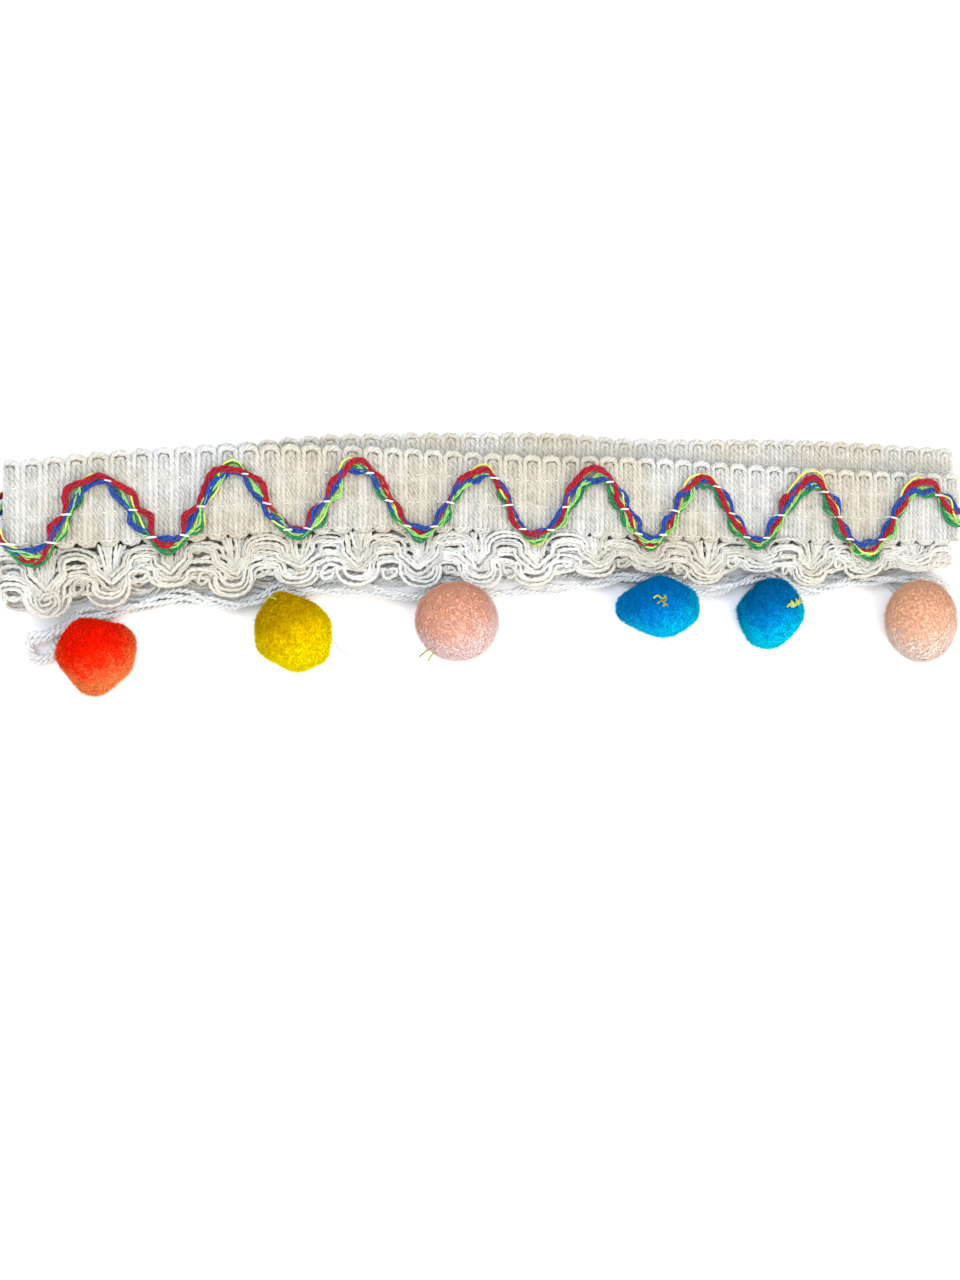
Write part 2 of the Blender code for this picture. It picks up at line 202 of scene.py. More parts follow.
def rise(x: float) -> float:
    """Gives the upper layer's slow waves and its bulge at the fold.

    Args:
        x: Where along the trim.

    Returns:
        How far the layer lies above its resting height there.
    """
    near_fold = math.exp(-(max(x - FOLD_X, 0.0) / BULGE_REACH) ** 2)
    wave = 0.5 - 0.5 * math.cos(TURN * (x - FOLD_X) / LAYER_WAVE_LENGTH)
    return FOLD_BULGE * near_fold + LAYER_WAVE * wave * (1.0 - near_fold)


@dataclass(frozen=True)
class Fold:
    """Folds a flat piece whose layers lie at two heights, as the CAD solids are folded.

    low and high are the heights of the layers' middles, and slack is how far out it stands at the fold.
    """

    low: float
    high: float
    slack: float = 0.0

    @property
    def radius(self) -> float:
        """The fold's radius."""
        return (self.high + FOLD_BULGE - self.low) / 2

    @property
    def quarter(self) -> float:
        """Length of a quarter turn of the fold."""
        return self.radius * math.pi / 2

    @property
    def end(self) -> float:
        """Length of each layer, to the middle of the fold."""
        return self.along(X_CUT, Side.LOWER)

    def along(self, x: float, side: Side) -> float:
        """Gives the distance from the fold of a point at x on a layer."""
        return side.value * (x - FOLD_X + self.quarter)

    def x_of(self, along: float) -> float:
        """Gives the x at which an edge table is read."""
        return FOLD_X + max(abs(along) - self.quarter, 0.0)

    def edge(self, along: float, column: int) -> float:
        """Gives y of the picot edge or the bottom edge along the strip."""
        return along_rows(UPPER_EDGES if along < 0 else LOWER_EDGES, self.x_of(along), column)

    def place(self, along: float, y: float, offset: float) -> tuple[Vector, Vector]:
        """Folds a point.

        Args:
            along: Distance from the fold.
            y: Distance across.
            offset: Distance from the strip's middle towards its face.

        Returns:
            The point in metres in the trim's frame, and the way the strip faces there.
        """
        if along < -self.quarter:
            x = self.x_of(along)
            return (Vector((x, y, self.high + rise(x) + offset)) + SHIFT) * MM, Vector((0, 0, 1))
        if along > self.quarter:
            z = max(self.low - offset, LOWEST)
            return (Vector((self.x_of(along), y, z)) + SHIFT) * MM, Vector((0, 0, -1))
        angle = along / self.radius
        reach = self.radius + offset
        x = FOLD_X - (reach + self.slack) * math.cos(angle)
        z = (self.high + FOLD_BULGE + self.low) / 2 - reach * math.sin(angle)
        return (Vector((x, y, z)) + SHIFT) * MM, Vector((-math.cos(angle), 0.0, -math.sin(angle)))


class Guides:
    """Lines that yarns follow, each point with the way its flat side faces."""

    def __init__(self, seed: int) -> None:
        """Starts with no line; seed fixes the lines' tints and twists."""
        self.random = Random(seed)
        self.points: list[Vector] = []
        self.edges: list[tuple[int, int]] = []
        self.face: list[Vector] = []
        self.tint: list[float] = []
        self.twist: list[float] = []
        self.gauge: list[float] = []

    def add(self, line: Iterable[tuple[Vector, Vector]], gauges: Iterable[float] | None = None) -> None:
        """Adds a line.

        Args:
            line: Its points in metres, each with the way its flat side faces.
            gauges: How thick the yarn is at each point, as a share of its own thickness.
        """
        line = list(line)
        gauges = [1.0] * len(line) if gauges is None else list(gauges)
        first = len(self.points)
        tint, twist = self.random.random(), self.random.random()
        for (point, face), gauge in zip(line, gauges):
            self.points.append(point)
            self.face.append(face)
            self.tint.append(tint)
            self.twist.append(twist)
            self.gauge.append(gauge)
        self.edges += [(i, i + 1) for i in range(first, first + len(line) - 1)]

    def mesh(self, name: str) -> bpy.types.Mesh:
        """Makes a mesh of loose edges that carries the lines and their attributes.

        Args:
            name: The mesh's name.

        Returns:
            The mesh.
        """
        made = bpy.data.meshes.new(name)
        made.from_pydata(self.points, self.edges, [])
        made.attributes.new("face", "FLOAT_VECTOR", "POINT").data.foreach_set(
            "vector", np.array(self.face, np.float32).ravel())
        for key in ("tint", "twist", "gauge"):
            made.attributes.new(key, "FLOAT", "POINT").data.foreach_set(
                "value", np.array(getattr(self, key), np.float32))
        return made


@dataclass(frozen=True)
class Gauge:
    """Sizes of a plied yarn, in millimetres.

    The plies' middles turn on an oval, lay_wide across the strip and lay_thick off it, once in a
    pitch. step is how far apart their rings of faces are, and wander how far each strays, over a
    wander_length.
    """

    plies: int
    ply_radius: float
    lay_wide: float
    lay_thick: float
    pitch: float
    step: float
    sides: int = 6
    wander: float = 0.0
    wander_length: float = 6.0


class NodeMaker:
    """A Geometry Nodes tree with named inputs, and what applies it."""

    def __init__(self, name: str, inputs: dict[str, str]) -> None:
        """Starts the tree.

        Args:
            name: The tree's name.
            inputs: The socket type of each input, by name.
        """
        self.tree = bpy.data.node_groups.new(name, "GeometryNodeTree")
        for label, kind in inputs.items():
            self.tree.interface.new_socket(label, in_out="INPUT", socket_type=kind)
        self.tree.interface.new_socket("Geometry", in_out="OUTPUT", socket_type="NodeSocketGeometry")
        self.given = self.tree.nodes.new("NodeGroupInput").outputs

    def add(self, kind: str, links: dict | None = None, **settings: object) -> bpy.types.Node:
        """Adds a node to this tree."""
        return add_node(self.tree, kind, links, **settings)

    def finish(self, geometry: bpy.types.Node) -> None:
        """Ends the tree in smooth shading, Realize Instances and Set Material.

        Args:
            geometry: The node that gives the finished geometry.
        """
        smooth = self.add("GeometryNodeSetShadeSmooth", {"Geometry": geometry})
        real = self.add("GeometryNodeRealizeInstances", {"Geometry": smooth})
        dressed = self.add("GeometryNodeSetMaterial",
                           {"Geometry": real, "Material": self.given["Finish"]})
        self.add("NodeGroupOutput", {0: dressed})

    def apply(self, name: str, mesh: bpy.types.Mesh, values: dict[str, object]) -> bpy.types.Object:
        """Runs the tree on a mesh.

        Args:
            name: The new piece's name.
            mesh: What the tree starts from.
            values: The tree's inputs by name.

        Returns:
            A plain mesh object at the origin.
        """
        item = bpy.data.objects.new(name, mesh)
        bpy.context.scene.collection.objects.link(item)
        modifier = item.modifiers.new(name, "NODES")
        modifier.node_group = self.tree
        for socket in self.tree.interface.items_tree:
            if socket.name in values:
                modifier[socket.identifier] = values[socket.name]
        graph = bpy.context.evaluated_depsgraph_get()
        result = bpy.data.meshes.new_from_object(item.evaluated_get(graph), depsgraph=graph,
                                                 preserve_all_data_layers=True)
        item.modifiers.clear()
        item.data = result
        result.name = name
        bpy.data.meshes.remove(mesh)
        for key in ("face", "twist", "gauge"):
            if key in result.attributes:
                result.attributes.remove(result.attributes[key])
        return item


class YarnSpinner(NodeMaker):
    """Spins plied yarn round guide lines."""

    ply_apart = 7.3                # how far apart two plies read the noise that they wander by

    def __init__(self) -> None:
        """Builds the tree: lines, plies laid round them, and a tube along each ply."""
        super().__init__("plied_yarn", {
            "Guides": "NodeSocketGeometry", "Step": "NodeSocketFloat", "Plies": "NodeSocketInt",
            "Ply radius": "NodeSocketFloat", "Lay wide": "NodeSocketFloat",
            "Lay thick": "NodeSocketFloat", "Pitch": "NodeSocketFloat", "Sides": "NodeSocketInt",
            "Wander": "NodeSocketFloat", "Wander length": "NodeSocketFloat",
            "Finish": "NodeSocketMaterial"})
        add, given = self.add, self.given
        lines = add("GeometryNodeMeshToCurve", {"Mesh": given["Guides"]})
        lines = add("GeometryNodeResampleCurve", {"Curve": lines, "Length": given["Step"]}, mode="LENGTH")
        copies = add("GeometryNodeDuplicateElements", {"Geometry": lines, "Amount": given["Plies"]},
                     domain="SPLINE")
        ply = copies.outputs["Duplicate Index"]
        length = add("GeometryNodeSplineParameter").outputs["Length"]
        twist = add("GeometryNodeInputNamedAttribute", {"Name": "twist"})
        gauge = add("GeometryNodeInputNamedAttribute", {"Name": "gauge"})
        face = add("GeometryNodeInputNamedAttribute", {"Name": "face"}, data_type="FLOAT_VECTOR")
        share = add("ShaderNodeMath", {0: ply, 1: given["Plies"]}, operation="DIVIDE")
        turns = add("ShaderNodeMath", {0: length, 1: given["Pitch"]}, operation="DIVIDE")
        turns = add("ShaderNodeMath", {0: turns, 1: share}, operation="ADD")
        turns = add("ShaderNodeMath", {0: turns, 1: twist}, operation="ADD")
        angle = add("ShaderNodeMath", {0: turns, 1: TURN}, operation="MULTIPLY")
        tangent = add("GeometryNodeInputTangent")
        side = add("ShaderNodeVectorMath", {0: tangent, 1: face}, operation="CROSS_PRODUCT")
        side = add("ShaderNodeVectorMath", {0: side}, operation="NORMALIZE")
        up = add("ShaderNodeVectorMath", {0: side, 1: tangent}, operation="CROSS_PRODUCT")
        offset = None
        for way, operation, lay in ((side, "COSINE", "Lay wide"), (up, "SINE", "Lay thick")):
            swing = add("ShaderNodeMath", {0: angle}, operation=operation)
            swing = add("ShaderNodeMath", {0: swing, 1: given[lay]}, operation="MULTIPLY")
            swing = add("ShaderNodeMath", {0: swing, 1: gauge}, operation="MULTIPLY")
            move = add("ShaderNodeVectorMath", {0: way, "Scale": swing}, operation="SCALE")
            offset = move if offset is None else add("ShaderNodeVectorMath", {0: offset, 1: move},
                                                     operation="ADD")
        where = add("ShaderNodeVectorMath", {0: add("GeometryNodeInputPosition"),
                    1: given["Wander length"]}, operation="DIVIDE")
        apart = add("ShaderNodeMath", {0: ply, 1: self.ply_apart}, operation="MULTIPLY")
        where = add("ShaderNodeVectorMath", {0: where, 1: apart}, operation="ADD")
        drift = add("ShaderNodeTexNoise", {"Vector": where, "Scale": 1.0, "Detail": 1.0})
        drift = add("ShaderNodeVectorMath", {0: drift.outputs["Color"], 1: (0.5, 0.5, 0.5)},
                    operation="SUBTRACT")
        drift = add("ShaderNodeVectorMath", {0: drift, "Scale": given["Wander"]}, operation="SCALE")
        offset = add("ShaderNodeVectorMath", {0: offset, 1: drift}, operation="ADD")
        laid = add("GeometryNodeStoreNamedAttribute", {"Geometry": copies, "Name": "along",
                   "Value": length}, domain="POINT")
        laid = add("GeometryNodeSetPosition", {"Geometry": laid, "Offset": offset})
        ring = add("GeometryNodeCurvePrimitiveCircle", {"Resolution": given["Sides"], "Radius": 1.0})
        ring = add("GeometryNodeStoreNamedAttribute", {"Geometry": ring, "Name": "ring",
                   "Value": add("GeometryNodeInputPosition")}, domain="POINT", data_type="FLOAT_VECTOR")
        thick = add("ShaderNodeMath", {0: gauge, 1: given["Ply radius"]}, operation="MULTIPLY")
        self.finish(add("GeometryNodeCurveToMesh", {"Curve": laid, "Profile Curve": ring,
                        "Scale": thick, "Fill Caps": True}))

    def spin(self, name: str, guides: Guides, gauge: Gauge,
             finish: bpy.types.Material) -> bpy.types.Object:
        """Spins a piece of yarn.

        Args:
            name: The piece's name.
            guides: The lines that it follows.
            gauge: Its sizes.
            finish: Its material.

        Returns:
            The yarn as a plain mesh object.
        """
        return self.apply(name, guides.mesh(name), {
            "Step": gauge.step * MM, "Plies": gauge.plies, "Ply radius": gauge.ply_radius * MM,
            "Lay wide": gauge.lay_wide * MM, "Lay thick": gauge.lay_thick * MM,
            "Pitch": gauge.pitch * MM, "Sides": gauge.sides, "Wander": gauge.wander * MM,
            "Wander length": gauge.wander_length * MM, "Finish": finish})


class PileTufter(NodeMaker):
    """Sets short cut fibres on a core."""

    thinnest = (0.8, 0.8, 0.6)     # a fibre's least and greatest size, as shares of the given one
    fullest = (1.2, 1.2, 1.25)
    stray_radius = 0.035
    stray_tilt = (1.3, 1.3, math.pi)
    stray_lowest = 2.2             # strays stand above this height, clear of the table
    stray_seed = 4

    def __init__(self) -> None:
        """Builds the tree: points on the core, a pointed fibre on each, and the core itself."""
        super().__init__("cut_pile", {
            "Core": "NodeSocketGeometry", "Density": "NodeSocketFloat", "Seed": "NodeSocketInt",
            "Length": "NodeSocketFloat", "Radius": "NodeSocketFloat", "Tilt": "NodeSocketVector",
            "Lowest": "NodeSocketFloat", "Finish": "NodeSocketMaterial"})
        add, given = self.add, self.given
        level = add("ShaderNodeSeparateXYZ", {0: add("GeometryNodeInputPosition")}).outputs["Z"]
        above = add("FunctionNodeCompare", {0: level, 1: given["Lowest"]}, operation="GREATER_THAN")
        points = add("GeometryNodeDistributePointsOnFaces", {"Mesh": given["Core"], "Selection": above,
                     "Density": given["Density"], "Seed": given["Seed"]})
        fibre = add("GeometryNodeMeshCone", {"Vertices": 3, "Radius Top": 0.0,
                    "Radius Bottom": given["Radius"], "Depth": given["Length"]})
        # How far up its fibre a point is: the pile's material uses it for painted shade at the roots.
        height = add("ShaderNodeSeparateXYZ", {0: add("GeometryNodeInputPosition")}).outputs["Z"]
        tip = add("ShaderNodeMath", {0: height, 1: given["Length"]}, operation="DIVIDE")
        fibre = add("GeometryNodeStoreNamedAttribute", {"Geometry": fibre, "Name": "tip", "Value": tip})
        lean = add("ShaderNodeVectorMath", {0: given["Tilt"], "Scale": -1.0}, operation="SCALE")
        lean = add("FunctionNodeRandomValue", {0: lean, 1: given["Tilt"], "Seed": given["Seed"]},
                   data_type="FLOAT_VECTOR")
        lean = add("FunctionNodeEulerToRotation", {"Euler": lean})
        turned = add("FunctionNodeRotateRotation", {"Rotation": points.outputs["Rotation"],
                     "Rotate By": lean}, rotation_space="LOCAL")
        size = add("FunctionNodeRandomValue", {0: self.thinnest, 1: self.fullest,
                   "Seed": given["Seed"]}, data_type="FLOAT_VECTOR")
        pile = add("GeometryNodeInstanceOnPoints", {"Points": points, "Instance": fibre,
                   "Rotation": turned, "Scale": size})
        tint = add("FunctionNodeRandomValue", {2: 0.0, 3: 1.0, "Seed": given["Seed"]}, data_type="FLOAT")
        pile = add("GeometryNodeStoreNamedAttribute", {"Geometry": pile, "Name": "tint",
                   "Value": tint.outputs[1]}, domain="INSTANCE")
        pile = add("GeometryNodeRealizeInstances", {"Geometry": pile})
        both = add("GeometryNodeJoinGeometry", {0: given["Core"]})
        self.tree.links.new(pile.outputs[0], both.inputs[0])
        self.finish(both)

    def fuzz(self, item: bpy.types.Object, density: float, length: float,
             finish: bpy.types.Material) -> bpy.types.Object:
        """Sets stray fibres on a piece.

        Args:
            item: The piece, which the result takes over.
            density: Fibres a square millimetre.
            length: How long they are, in millimetres.
            finish: The piece's material.

        Returns:
            The piece with its fibres.
        """
        name, mesh = item.name, item.data
        bpy.data.objects.remove(item)
        mesh.name = name + "_bare"
        return self.apply(name, mesh, {
            "Density": density / MM ** 2, "Seed": self.stray_seed, "Length": length * MM,
            "Radius": self.stray_radius * MM, "Tilt": self.stray_tilt,
            "Lowest": self.stray_lowest * MM, "Finish": finish})


def principled(name: str, sockets: dict[str, object]) -> tuple[bpy.types.Material, Callable,
                                                               bpy.types.Node]:
    """Starts a material.

    Args:
        name: The material's name.
        sockets: The values of its shader's sockets.

    Returns:
        The material, what adds a node to its tree, and its shader.
    """
    made = bpy.data.materials.new(name)
    made.use_nodes = True
    shader = made.node_tree.nodes["Principled BSDF"]
    for socket, value in sockets.items():
        shader.inputs[socket].default_value = value
    return made, partial(add_node, made.node_tree), shader


@dataclass(frozen=True)
class SpunYarn:
    """Spun staple yarn: matt, each ply ridged by its own twist, a little uneven in colour.

    Lengths are in millimetres. light and dark are the colours of its crests and hollows: the darker
    hollows are painted shade, laid over its uneven colour.
    """

    name: str
    light: str
    dark: str
    roughness: float = 0.92
    sheen: float = 0.25
    fibre_pitch: float = 1.3   # one turn of the fibres round a ply
    fibre_starts: float = 3.0  # ridges side by side round a ply
    hair: float = 0.22         # width of the fibres' unevenness, as coarse as it needs to show
    relief: float = 0.1
    mottle: float = 1.6        # size of the uneven patches
    contrast: float = 0.5
    painted_warm_light: str = ""             # colour of its wide, faint patches of painted warm light, if it has them
    painted_warm_light_size: float = 24.0

    def build(self) -> bpy.types.Material:
        """Makes the material.

        Returns:
            The material. It reads the yarn's own "ring", "along" and "tint" attributes.
        """
        made, add, shader = principled(self.name, {
            "Roughness": self.roughness, "Sheen Weight": self.sheen, "Sheen Roughness": 0.5,
            "Specular IOR Level": 0.2})
        ring = add("ShaderNodeAttribute", attribute_name="ring").outputs["Vector"]
        ring = add("ShaderNodeSeparateXYZ", {0: ring})
        along = add("ShaderNodeAttribute", attribute_name="along").outputs["Fac"]
        tint = add("ShaderNodeAttribute", attribute_name="tint").outputs["Fac"]
        around = add("ShaderNodeMath", {0: ring.outputs["Y"], 1: ring.outputs["X"]}, operation="ARCTAN2")
        around = add("ShaderNodeMath", {0: around, 1: self.fibre_starts}, operation="MULTIPLY")
        turned = add("ShaderNodeMath", {0: along, 1: TURN / (self.fibre_pitch * MM)},
                     operation="MULTIPLY")
        wave = add("ShaderNodeMath", {0: around, 1: turned}, operation="ADD")
        wave = add("ShaderNodeMath", {0: wave}, operation="SINE")
        place = add("ShaderNodeTexCoord").outputs["Object"]
        patches = add("ShaderNodeTexNoise", {"Vector": place, "Scale": 1 / (self.mottle * MM),
                      "Detail": 3.0, "Roughness": 0.6})
        hairs = add("ShaderNodeTexNoise", {"Vector": place, "Scale": 1 / (self.hair * MM), "Detail": 2.0})
        # The low parts of the twist's ridges take the dark colour: painted shade in the hollows, mixed
        # with the yarn's random tint and patches.
        height = add("ShaderNodeMath", {0: wave, 1: 0.4, 2: hairs}, operation="MULTIPLY_ADD")
        share = add("ShaderNodeMath", {0: tint, 1: 0.5, 2: patches}, operation="MULTIPLY_ADD")
        share = add("ShaderNodeMath", {0: height, 1: 0.5, 2: share}, operation="MULTIPLY_ADD")
        share = add("ShaderNodeMapRange", {"Value": share, "From Min": 0.4 + self.contrast * 0.35,
                    "From Max": 1.5 - self.contrast * 0.35})
        colour = add("ShaderNodeMix", {"Factor": share, "A": linear(self.dark),
                     "B": linear(self.light)}, data_type="RGBA")
        # Wide random patches multiplied by a warm colour: painted warm light.
        if self.painted_warm_light:
            wide = add("ShaderNodeTexNoise", {"Vector": place, "Scale": 1 / (self.painted_warm_light_size * MM)})
            wide = add("ShaderNodeMapRange", {"Value": wide, "From Min": 0.4, "From Max": 0.6})
            colour = add("ShaderNodeMix", {"Factor": wide, "A": colour.outputs["Result"],
                         "B": linear(self.painted_warm_light)}, data_type="RGBA", blend_type="MULTIPLY")
        bump = add("ShaderNodeBump", {"Height": height, "Strength": 0.9, "Distance": self.relief * MM})
        made.node_tree.links.new(colour.outputs["Result"], shader.inputs["Base Color"])
        made.node_tree.links.new(bump.outputs[0], shader.inputs["Normal"])
        return made


@dataclass(frozen=True)
class CutPile:
    """Acrylic pile, clipped and brushed: soft, with painted shade at its fibres' roots and towards the
    band, and painted light on its flanks and on its side away from the band.
    """

    name: str
    deep: str
    main: str
    pale: str
    centre: tuple[float, float, float]
    sheen: float = 0.15
    patch: float = 2.6                                         # size of the uneven patches, in mm
    clump: float = 0.75                                        # and of the tufts that cling, in mm
    away: tuple[float, float, float] = (0.42, -0.9, 0.0)       # which way the painted light falls: the pile is painted paler on that side

    def build(self) -> bpy.types.Material:
        """Makes the material.

        Returns:
            The material. It reads the fibres' own "tip" and "tint" attributes, and is lit more
            as the round form than as single fibres, because pile scatters light.
        """
        made, add, shader = principled(self.name, {
            "Roughness": 0.95, "Sheen Weight": self.sheen, "Sheen Roughness": 0.6,
            "Sheen Tint": linear(self.pale), "Specular IOR Level": 0.0})
        tip = add("ShaderNodeAttribute", attribute_name="tip").outputs["Fac"]
        tint = add("ShaderNodeAttribute", attribute_name="tint").outputs["Fac"]
        place = add("ShaderNodeTexCoord").outputs["Object"]
        patches = add("ShaderNodeTexNoise", {"Vector": place, "Scale": 1 / (self.patch * MM),
                      "Detail": 4.0, "Roughness": 0.6})
        clumps = add("ShaderNodeTexNoise", {"Vector": place, "Scale": 1 / (self.clump * MM),
                     "Detail": 3.0, "Roughness": 0.7})
        middle = (Vector(self.centre) + SHIFT) * MM
        out = add("ShaderNodeVectorMath", {0: place, 1: middle}, operation="SUBTRACT")
        out = add("ShaderNodeVectorMath", {0: out}, operation="NORMALIZE")
        # The side away from the band gets painted light, the band's side painted shade.
        far = add("ShaderNodeVectorMath", {0: out, 1: self.away},
                  operation="DOT_PRODUCT").outputs["Value"]
        # Painted light on the ball's flanks, where the way out is nearly level.
        height = add("ShaderNodeSeparateXYZ", {0: out}).outputs["Z"]
        rim = add("ShaderNodeMapRange", {"Value": height, "From Min": 0.75, "From Max": 0.1})
        # Random patches, tint and tufts, with painted shade at the fibres' roots.
        share = patches
        for part, weight in ((tint, 0.3), (tip, 0.3), (clumps, 0.8), (far, 0.75)):
            share = add("ShaderNodeMath", {0: part, 1: weight, 2: share}, operation="MULTIPLY_ADD")
        light = add("ShaderNodeMath", {0: rim, 1: 0.35, 2: share}, operation="MULTIPLY_ADD")
        share = add("ShaderNodeMapRange", {"Value": share, "From Min": 0.5, "From Max": 1.2})
        light = add("ShaderNodeMapRange", {"Value": light, "From Min": 1.12, "From Max": 1.8})
        colour = add("ShaderNodeMix", {"Factor": share, "A": linear(self.deep),
                     "B": linear(self.main)}, data_type="RGBA")
        colour = add("ShaderNodeMix", {"Factor": light, "A": colour.outputs["Result"],
                     "B": linear(self.pale)}, data_type="RGBA")
        out = add("ShaderNodeVectorMath", {0: out, "Scale": 2.0}, operation="SCALE")
        own = add("ShaderNodeNewGeometry").outputs["Normal"]
        out = add("ShaderNodeVectorMath", {0: out, 1: own}, operation="ADD")
        out = add("ShaderNodeVectorMath", {0: out}, operation="NORMALIZE")
        made.node_tree.links.new(colour.outputs["Result"], shader.inputs["Base Color"])
        made.node_tree.links.new(out.outputs[0], shader.inputs["Normal"])
        return made


def dress(item: bpy.types.Object, slot: str, *nodes: str) -> bpy.types.Object:
    """Makes a piece ride on the trim, and reports it.

    Args:
        item: The piece.
        slot: Its material slot; not used.
        nodes: The CAD nodes that it stands for.

    Returns:
        The piece.
    """
    log.info("%s: %d faces", item.name, len(item.data.polygons))
    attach(item, "root")
    if nodes:
        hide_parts(*nodes)
    return item


def bent_path(bends: Sequence[tuple[float, float]], steps: int,
              roundness: Callable[[bool], float]) -> list[tuple[float, float, float]]:
    """Runs a smooth to-and-fro line through bends.

    Args:
        bends: (along, y) of each peak and trough, in order.
        steps: How many points each half wave has.
        roundness: How much fuller than a sine a bend is, given whether it is a peak.

    Returns:
        (along, y, phase) of each point; the phase counts half waves from the first bend.
    """
    path = []
    for n, ((start, y_start), (end, y_end)) in enumerate(zip(bends, bends[1:])):
        for step in range(steps):
            angle = math.pi * step / steps
            at_peak = (y_end > y_start) == (step > steps / 2)
            along = start + (end - start) * step / steps + roundness(at_peak) * math.sin(2 * angle)
            y = y_start + (y_end - y_start) * (1 - math.cos(angle)) / 2
            path.append((along, y, n + step / steps))
    path.append((*bends[-1], len(bends) - 1.0))
    return path


def beside(path: Sequence[tuple], i: int) -> Vector:
    """Finds the way to the left of a path.

    Args:
        path: Its points, each starting with (along, y).
        i: At which of them.

    Returns:
        A unit vector in (along, y).
    """
    before, after = path[max(i - 1, 0)], path[min(i + 1, len(path) - 1)]
    way = Vector((after[0] - before[0], after[1] - before[1])).normalized()
    return Vector((-way.y, way.x))


@dataclass(frozen=True)
class RibLine:
    """One of the strands that run up and down the band, nested in each picot.

    half is its distance from the picot's middle, and dome the same in its curve over the picot; top
    and bottom are from the band's edges to its middle line there, the rounds are the heights of its
    curves, behind is how far back it lies in them, and plump is how thick it is on top.
    """

    half: float
    dome: float
    top: float
    top_round: float
    bottom: float
    bottom_round: float
    behind: float
    plump: float


@dataclass
class Band:
    """The band: strands laid up and down as ribs, looped over as picots and bound across."""

    spinner: YarnSpinner
    fold: Fold = Fold(BAND_LOW, BAND_HIGH)
    picot_pitch: float = 4.25      # a picot, with two ribs below it
    rib_lines: tuple[RibLine, ...] = (RibLine(1.59, 1.78, 0.8, 1.0, 0.75, 0.5, 0.0, 1.25),
                                      RibLine(0.53, 0.55, 1.9, 0.4, 0.35, 0.8, 0.15, 1.0))
    bottom_plump: float = 1.1      # how thick a strand is in its lower curves, as a share
    curve_steps: int = 8
    binding_lines: tuple[float, ...] = (0.33, 0.65, 0.94)      # shares of the way down the band
    swells: tuple[float, ...] = (0.22, 0.8)                    # where strands swell between them
    swell: float = 1.05            # how thick they are there
    lift: float = 0.6              # how far a thicker strand rises, as a share of what it gains
    pinch: float = 0.9             # how thick a strand is under a binding line
    draw: float = 0.1              # how far a binding line draws two strands together
    stray: float = 0.15            # how far a binding stitch strays up or down
    dot: tuple[tuple[float, float], ...] = ((-0.32, 0.2), (-0.15, 0.5), (0.15, 0.5), (0.32, 0.2))
    sheet_half: float = 0.25       # half the ground sheet's thickness
    sheet_top: float = 2.3         # how far inside the picot edge the sheet ends
    sheet_bottom: float = 0.9      # and inside the bottom edge
    yarn: Gauge = Gauge(2, 0.46, 0.16, 0.14, 3.0, 0.64, sides=5, wander=0.16, wander_length=2.6)
    thread: Gauge = Gauge(1, 0.13, 0.0, 0.0, 5.0, 0.3, sides=4)
    pieces: list[bpy.types.Object] = field(default_factory=list)

    @property
    def picots(self) -> int:
        """How many picots the whole strip has."""
        return round(2 * self.fold.end / self.picot_pitch)

    def along(self, picot: float) -> float:
        """Gives where a picot lies along the strip, counted from the upper layer's cut end."""
        return self.fold.end * (2 * picot / self.picots - 1)

    def line_y(self, along: float, share: float) -> float:
        """Gives y of a binding line, a share of the way down from the picot edge."""
        top, bottom = self.fold.edge(along, PICOT_EDGE), self.fold.edge(along, BOTTOM_EDGE)
        return top + (bottom - top) * share

    def leg(self, line: RibLine, middle: float, way: int) -> list[tuple[float, float, float, float]]:
        """Lays one leg from bottom to top.

        Args:
            line: The strand.
            middle: Where its picot's middle is along the strip.
            way: -1 for the leg before the middle, 1 for the one after it.

        Returns:
            (along, y, offset, gauge) of each point.
        """
        along = middle + way * line.half
        top = self.fold.edge(along, PICOT_EDGE) - line.top - line.top_round
        bottom = self.fold.edge(along, BOTTOM_EDGE) + line.bottom + line.bottom_round
        draw = way * self.draw * (1 if line.half < self.picot_pitch / 4 else -1)
        places = [(top, 0.0, 1.0), (bottom, 0.0, 1.0), ((top + bottom) / 2, 0.0, self.swell)]
        places += [(self.line_y(along, share), draw, self.pinch) for share in self.binding_lines[:2]]
        places += [(self.line_y(along, share), 0.0, self.swell) for share in self.swells]
        return [(along + shift, y, self.lift * (gauge - 1.0), gauge)
                for y, shift, gauge in sorted(places)]

    def loop(self, line: RibLine, middle: float,
             is_top: bool) -> list[tuple[float, float, float, float]]:
        """Lays the curve over a picot, or under the gap to the next one.

        Args:
            line: The strand.
            middle: Where the curve's middle is along the strip.
            is_top: Whether it is the one over a picot.

        Returns:
            (along, y, offset, gauge) of each point.
        """
        half = line.dome if is_top else self.picot_pitch / 2 - line.half
        height = line.top_round if is_top else line.bottom_round
        way = 1 if is_top else -1
        edge = self.fold.edge(middle, PICOT_EDGE if is_top else BOTTOM_EDGE)
        centre = edge - way * ((line.top if is_top else line.bottom) + height)
        places = []
        plump = (line.plump if is_top else self.bottom_plump) - 1.0
        for step in range(1, self.curve_steps):
            angle = math.pi * (1 - step / self.curve_steps)
            places.append((middle + half * math.cos(angle), centre + way * height * math.sin(angle),
                           -line.behind * math.sin(angle), 1.0 + plump * math.sin(angle)))
        return places

    def build_yarn(self, name: str, first: int, last: int, finish: bpy.types.Material) -> None:
        """Spins the ribs of a run of picots.

        Args:
            name: The piece's name.
            first: The first picot.
            last: The one after the last.
            finish: The yarn's material.
        """
        guides = Guides(first)
        for line in self.rib_lines:
            laid = []
            for picot in range(first, last):
                middle = self.along(picot + 0.5)
                if picot > first:
                    laid += self.loop(line, self.along(picot), False)
                laid += self.leg(line, middle, -1)
                laid += self.loop(line, middle, True)
                laid += reversed(self.leg(line, middle, 1))
            guides.add((self.fold.place(a, y, o) for a, y, o, _ in laid), (g for *_, g in laid))
        piece = self.spinner.spin(name, guides, self.yarn, finish)
        self.pieces.append(dress(piece, "cotton_band"))

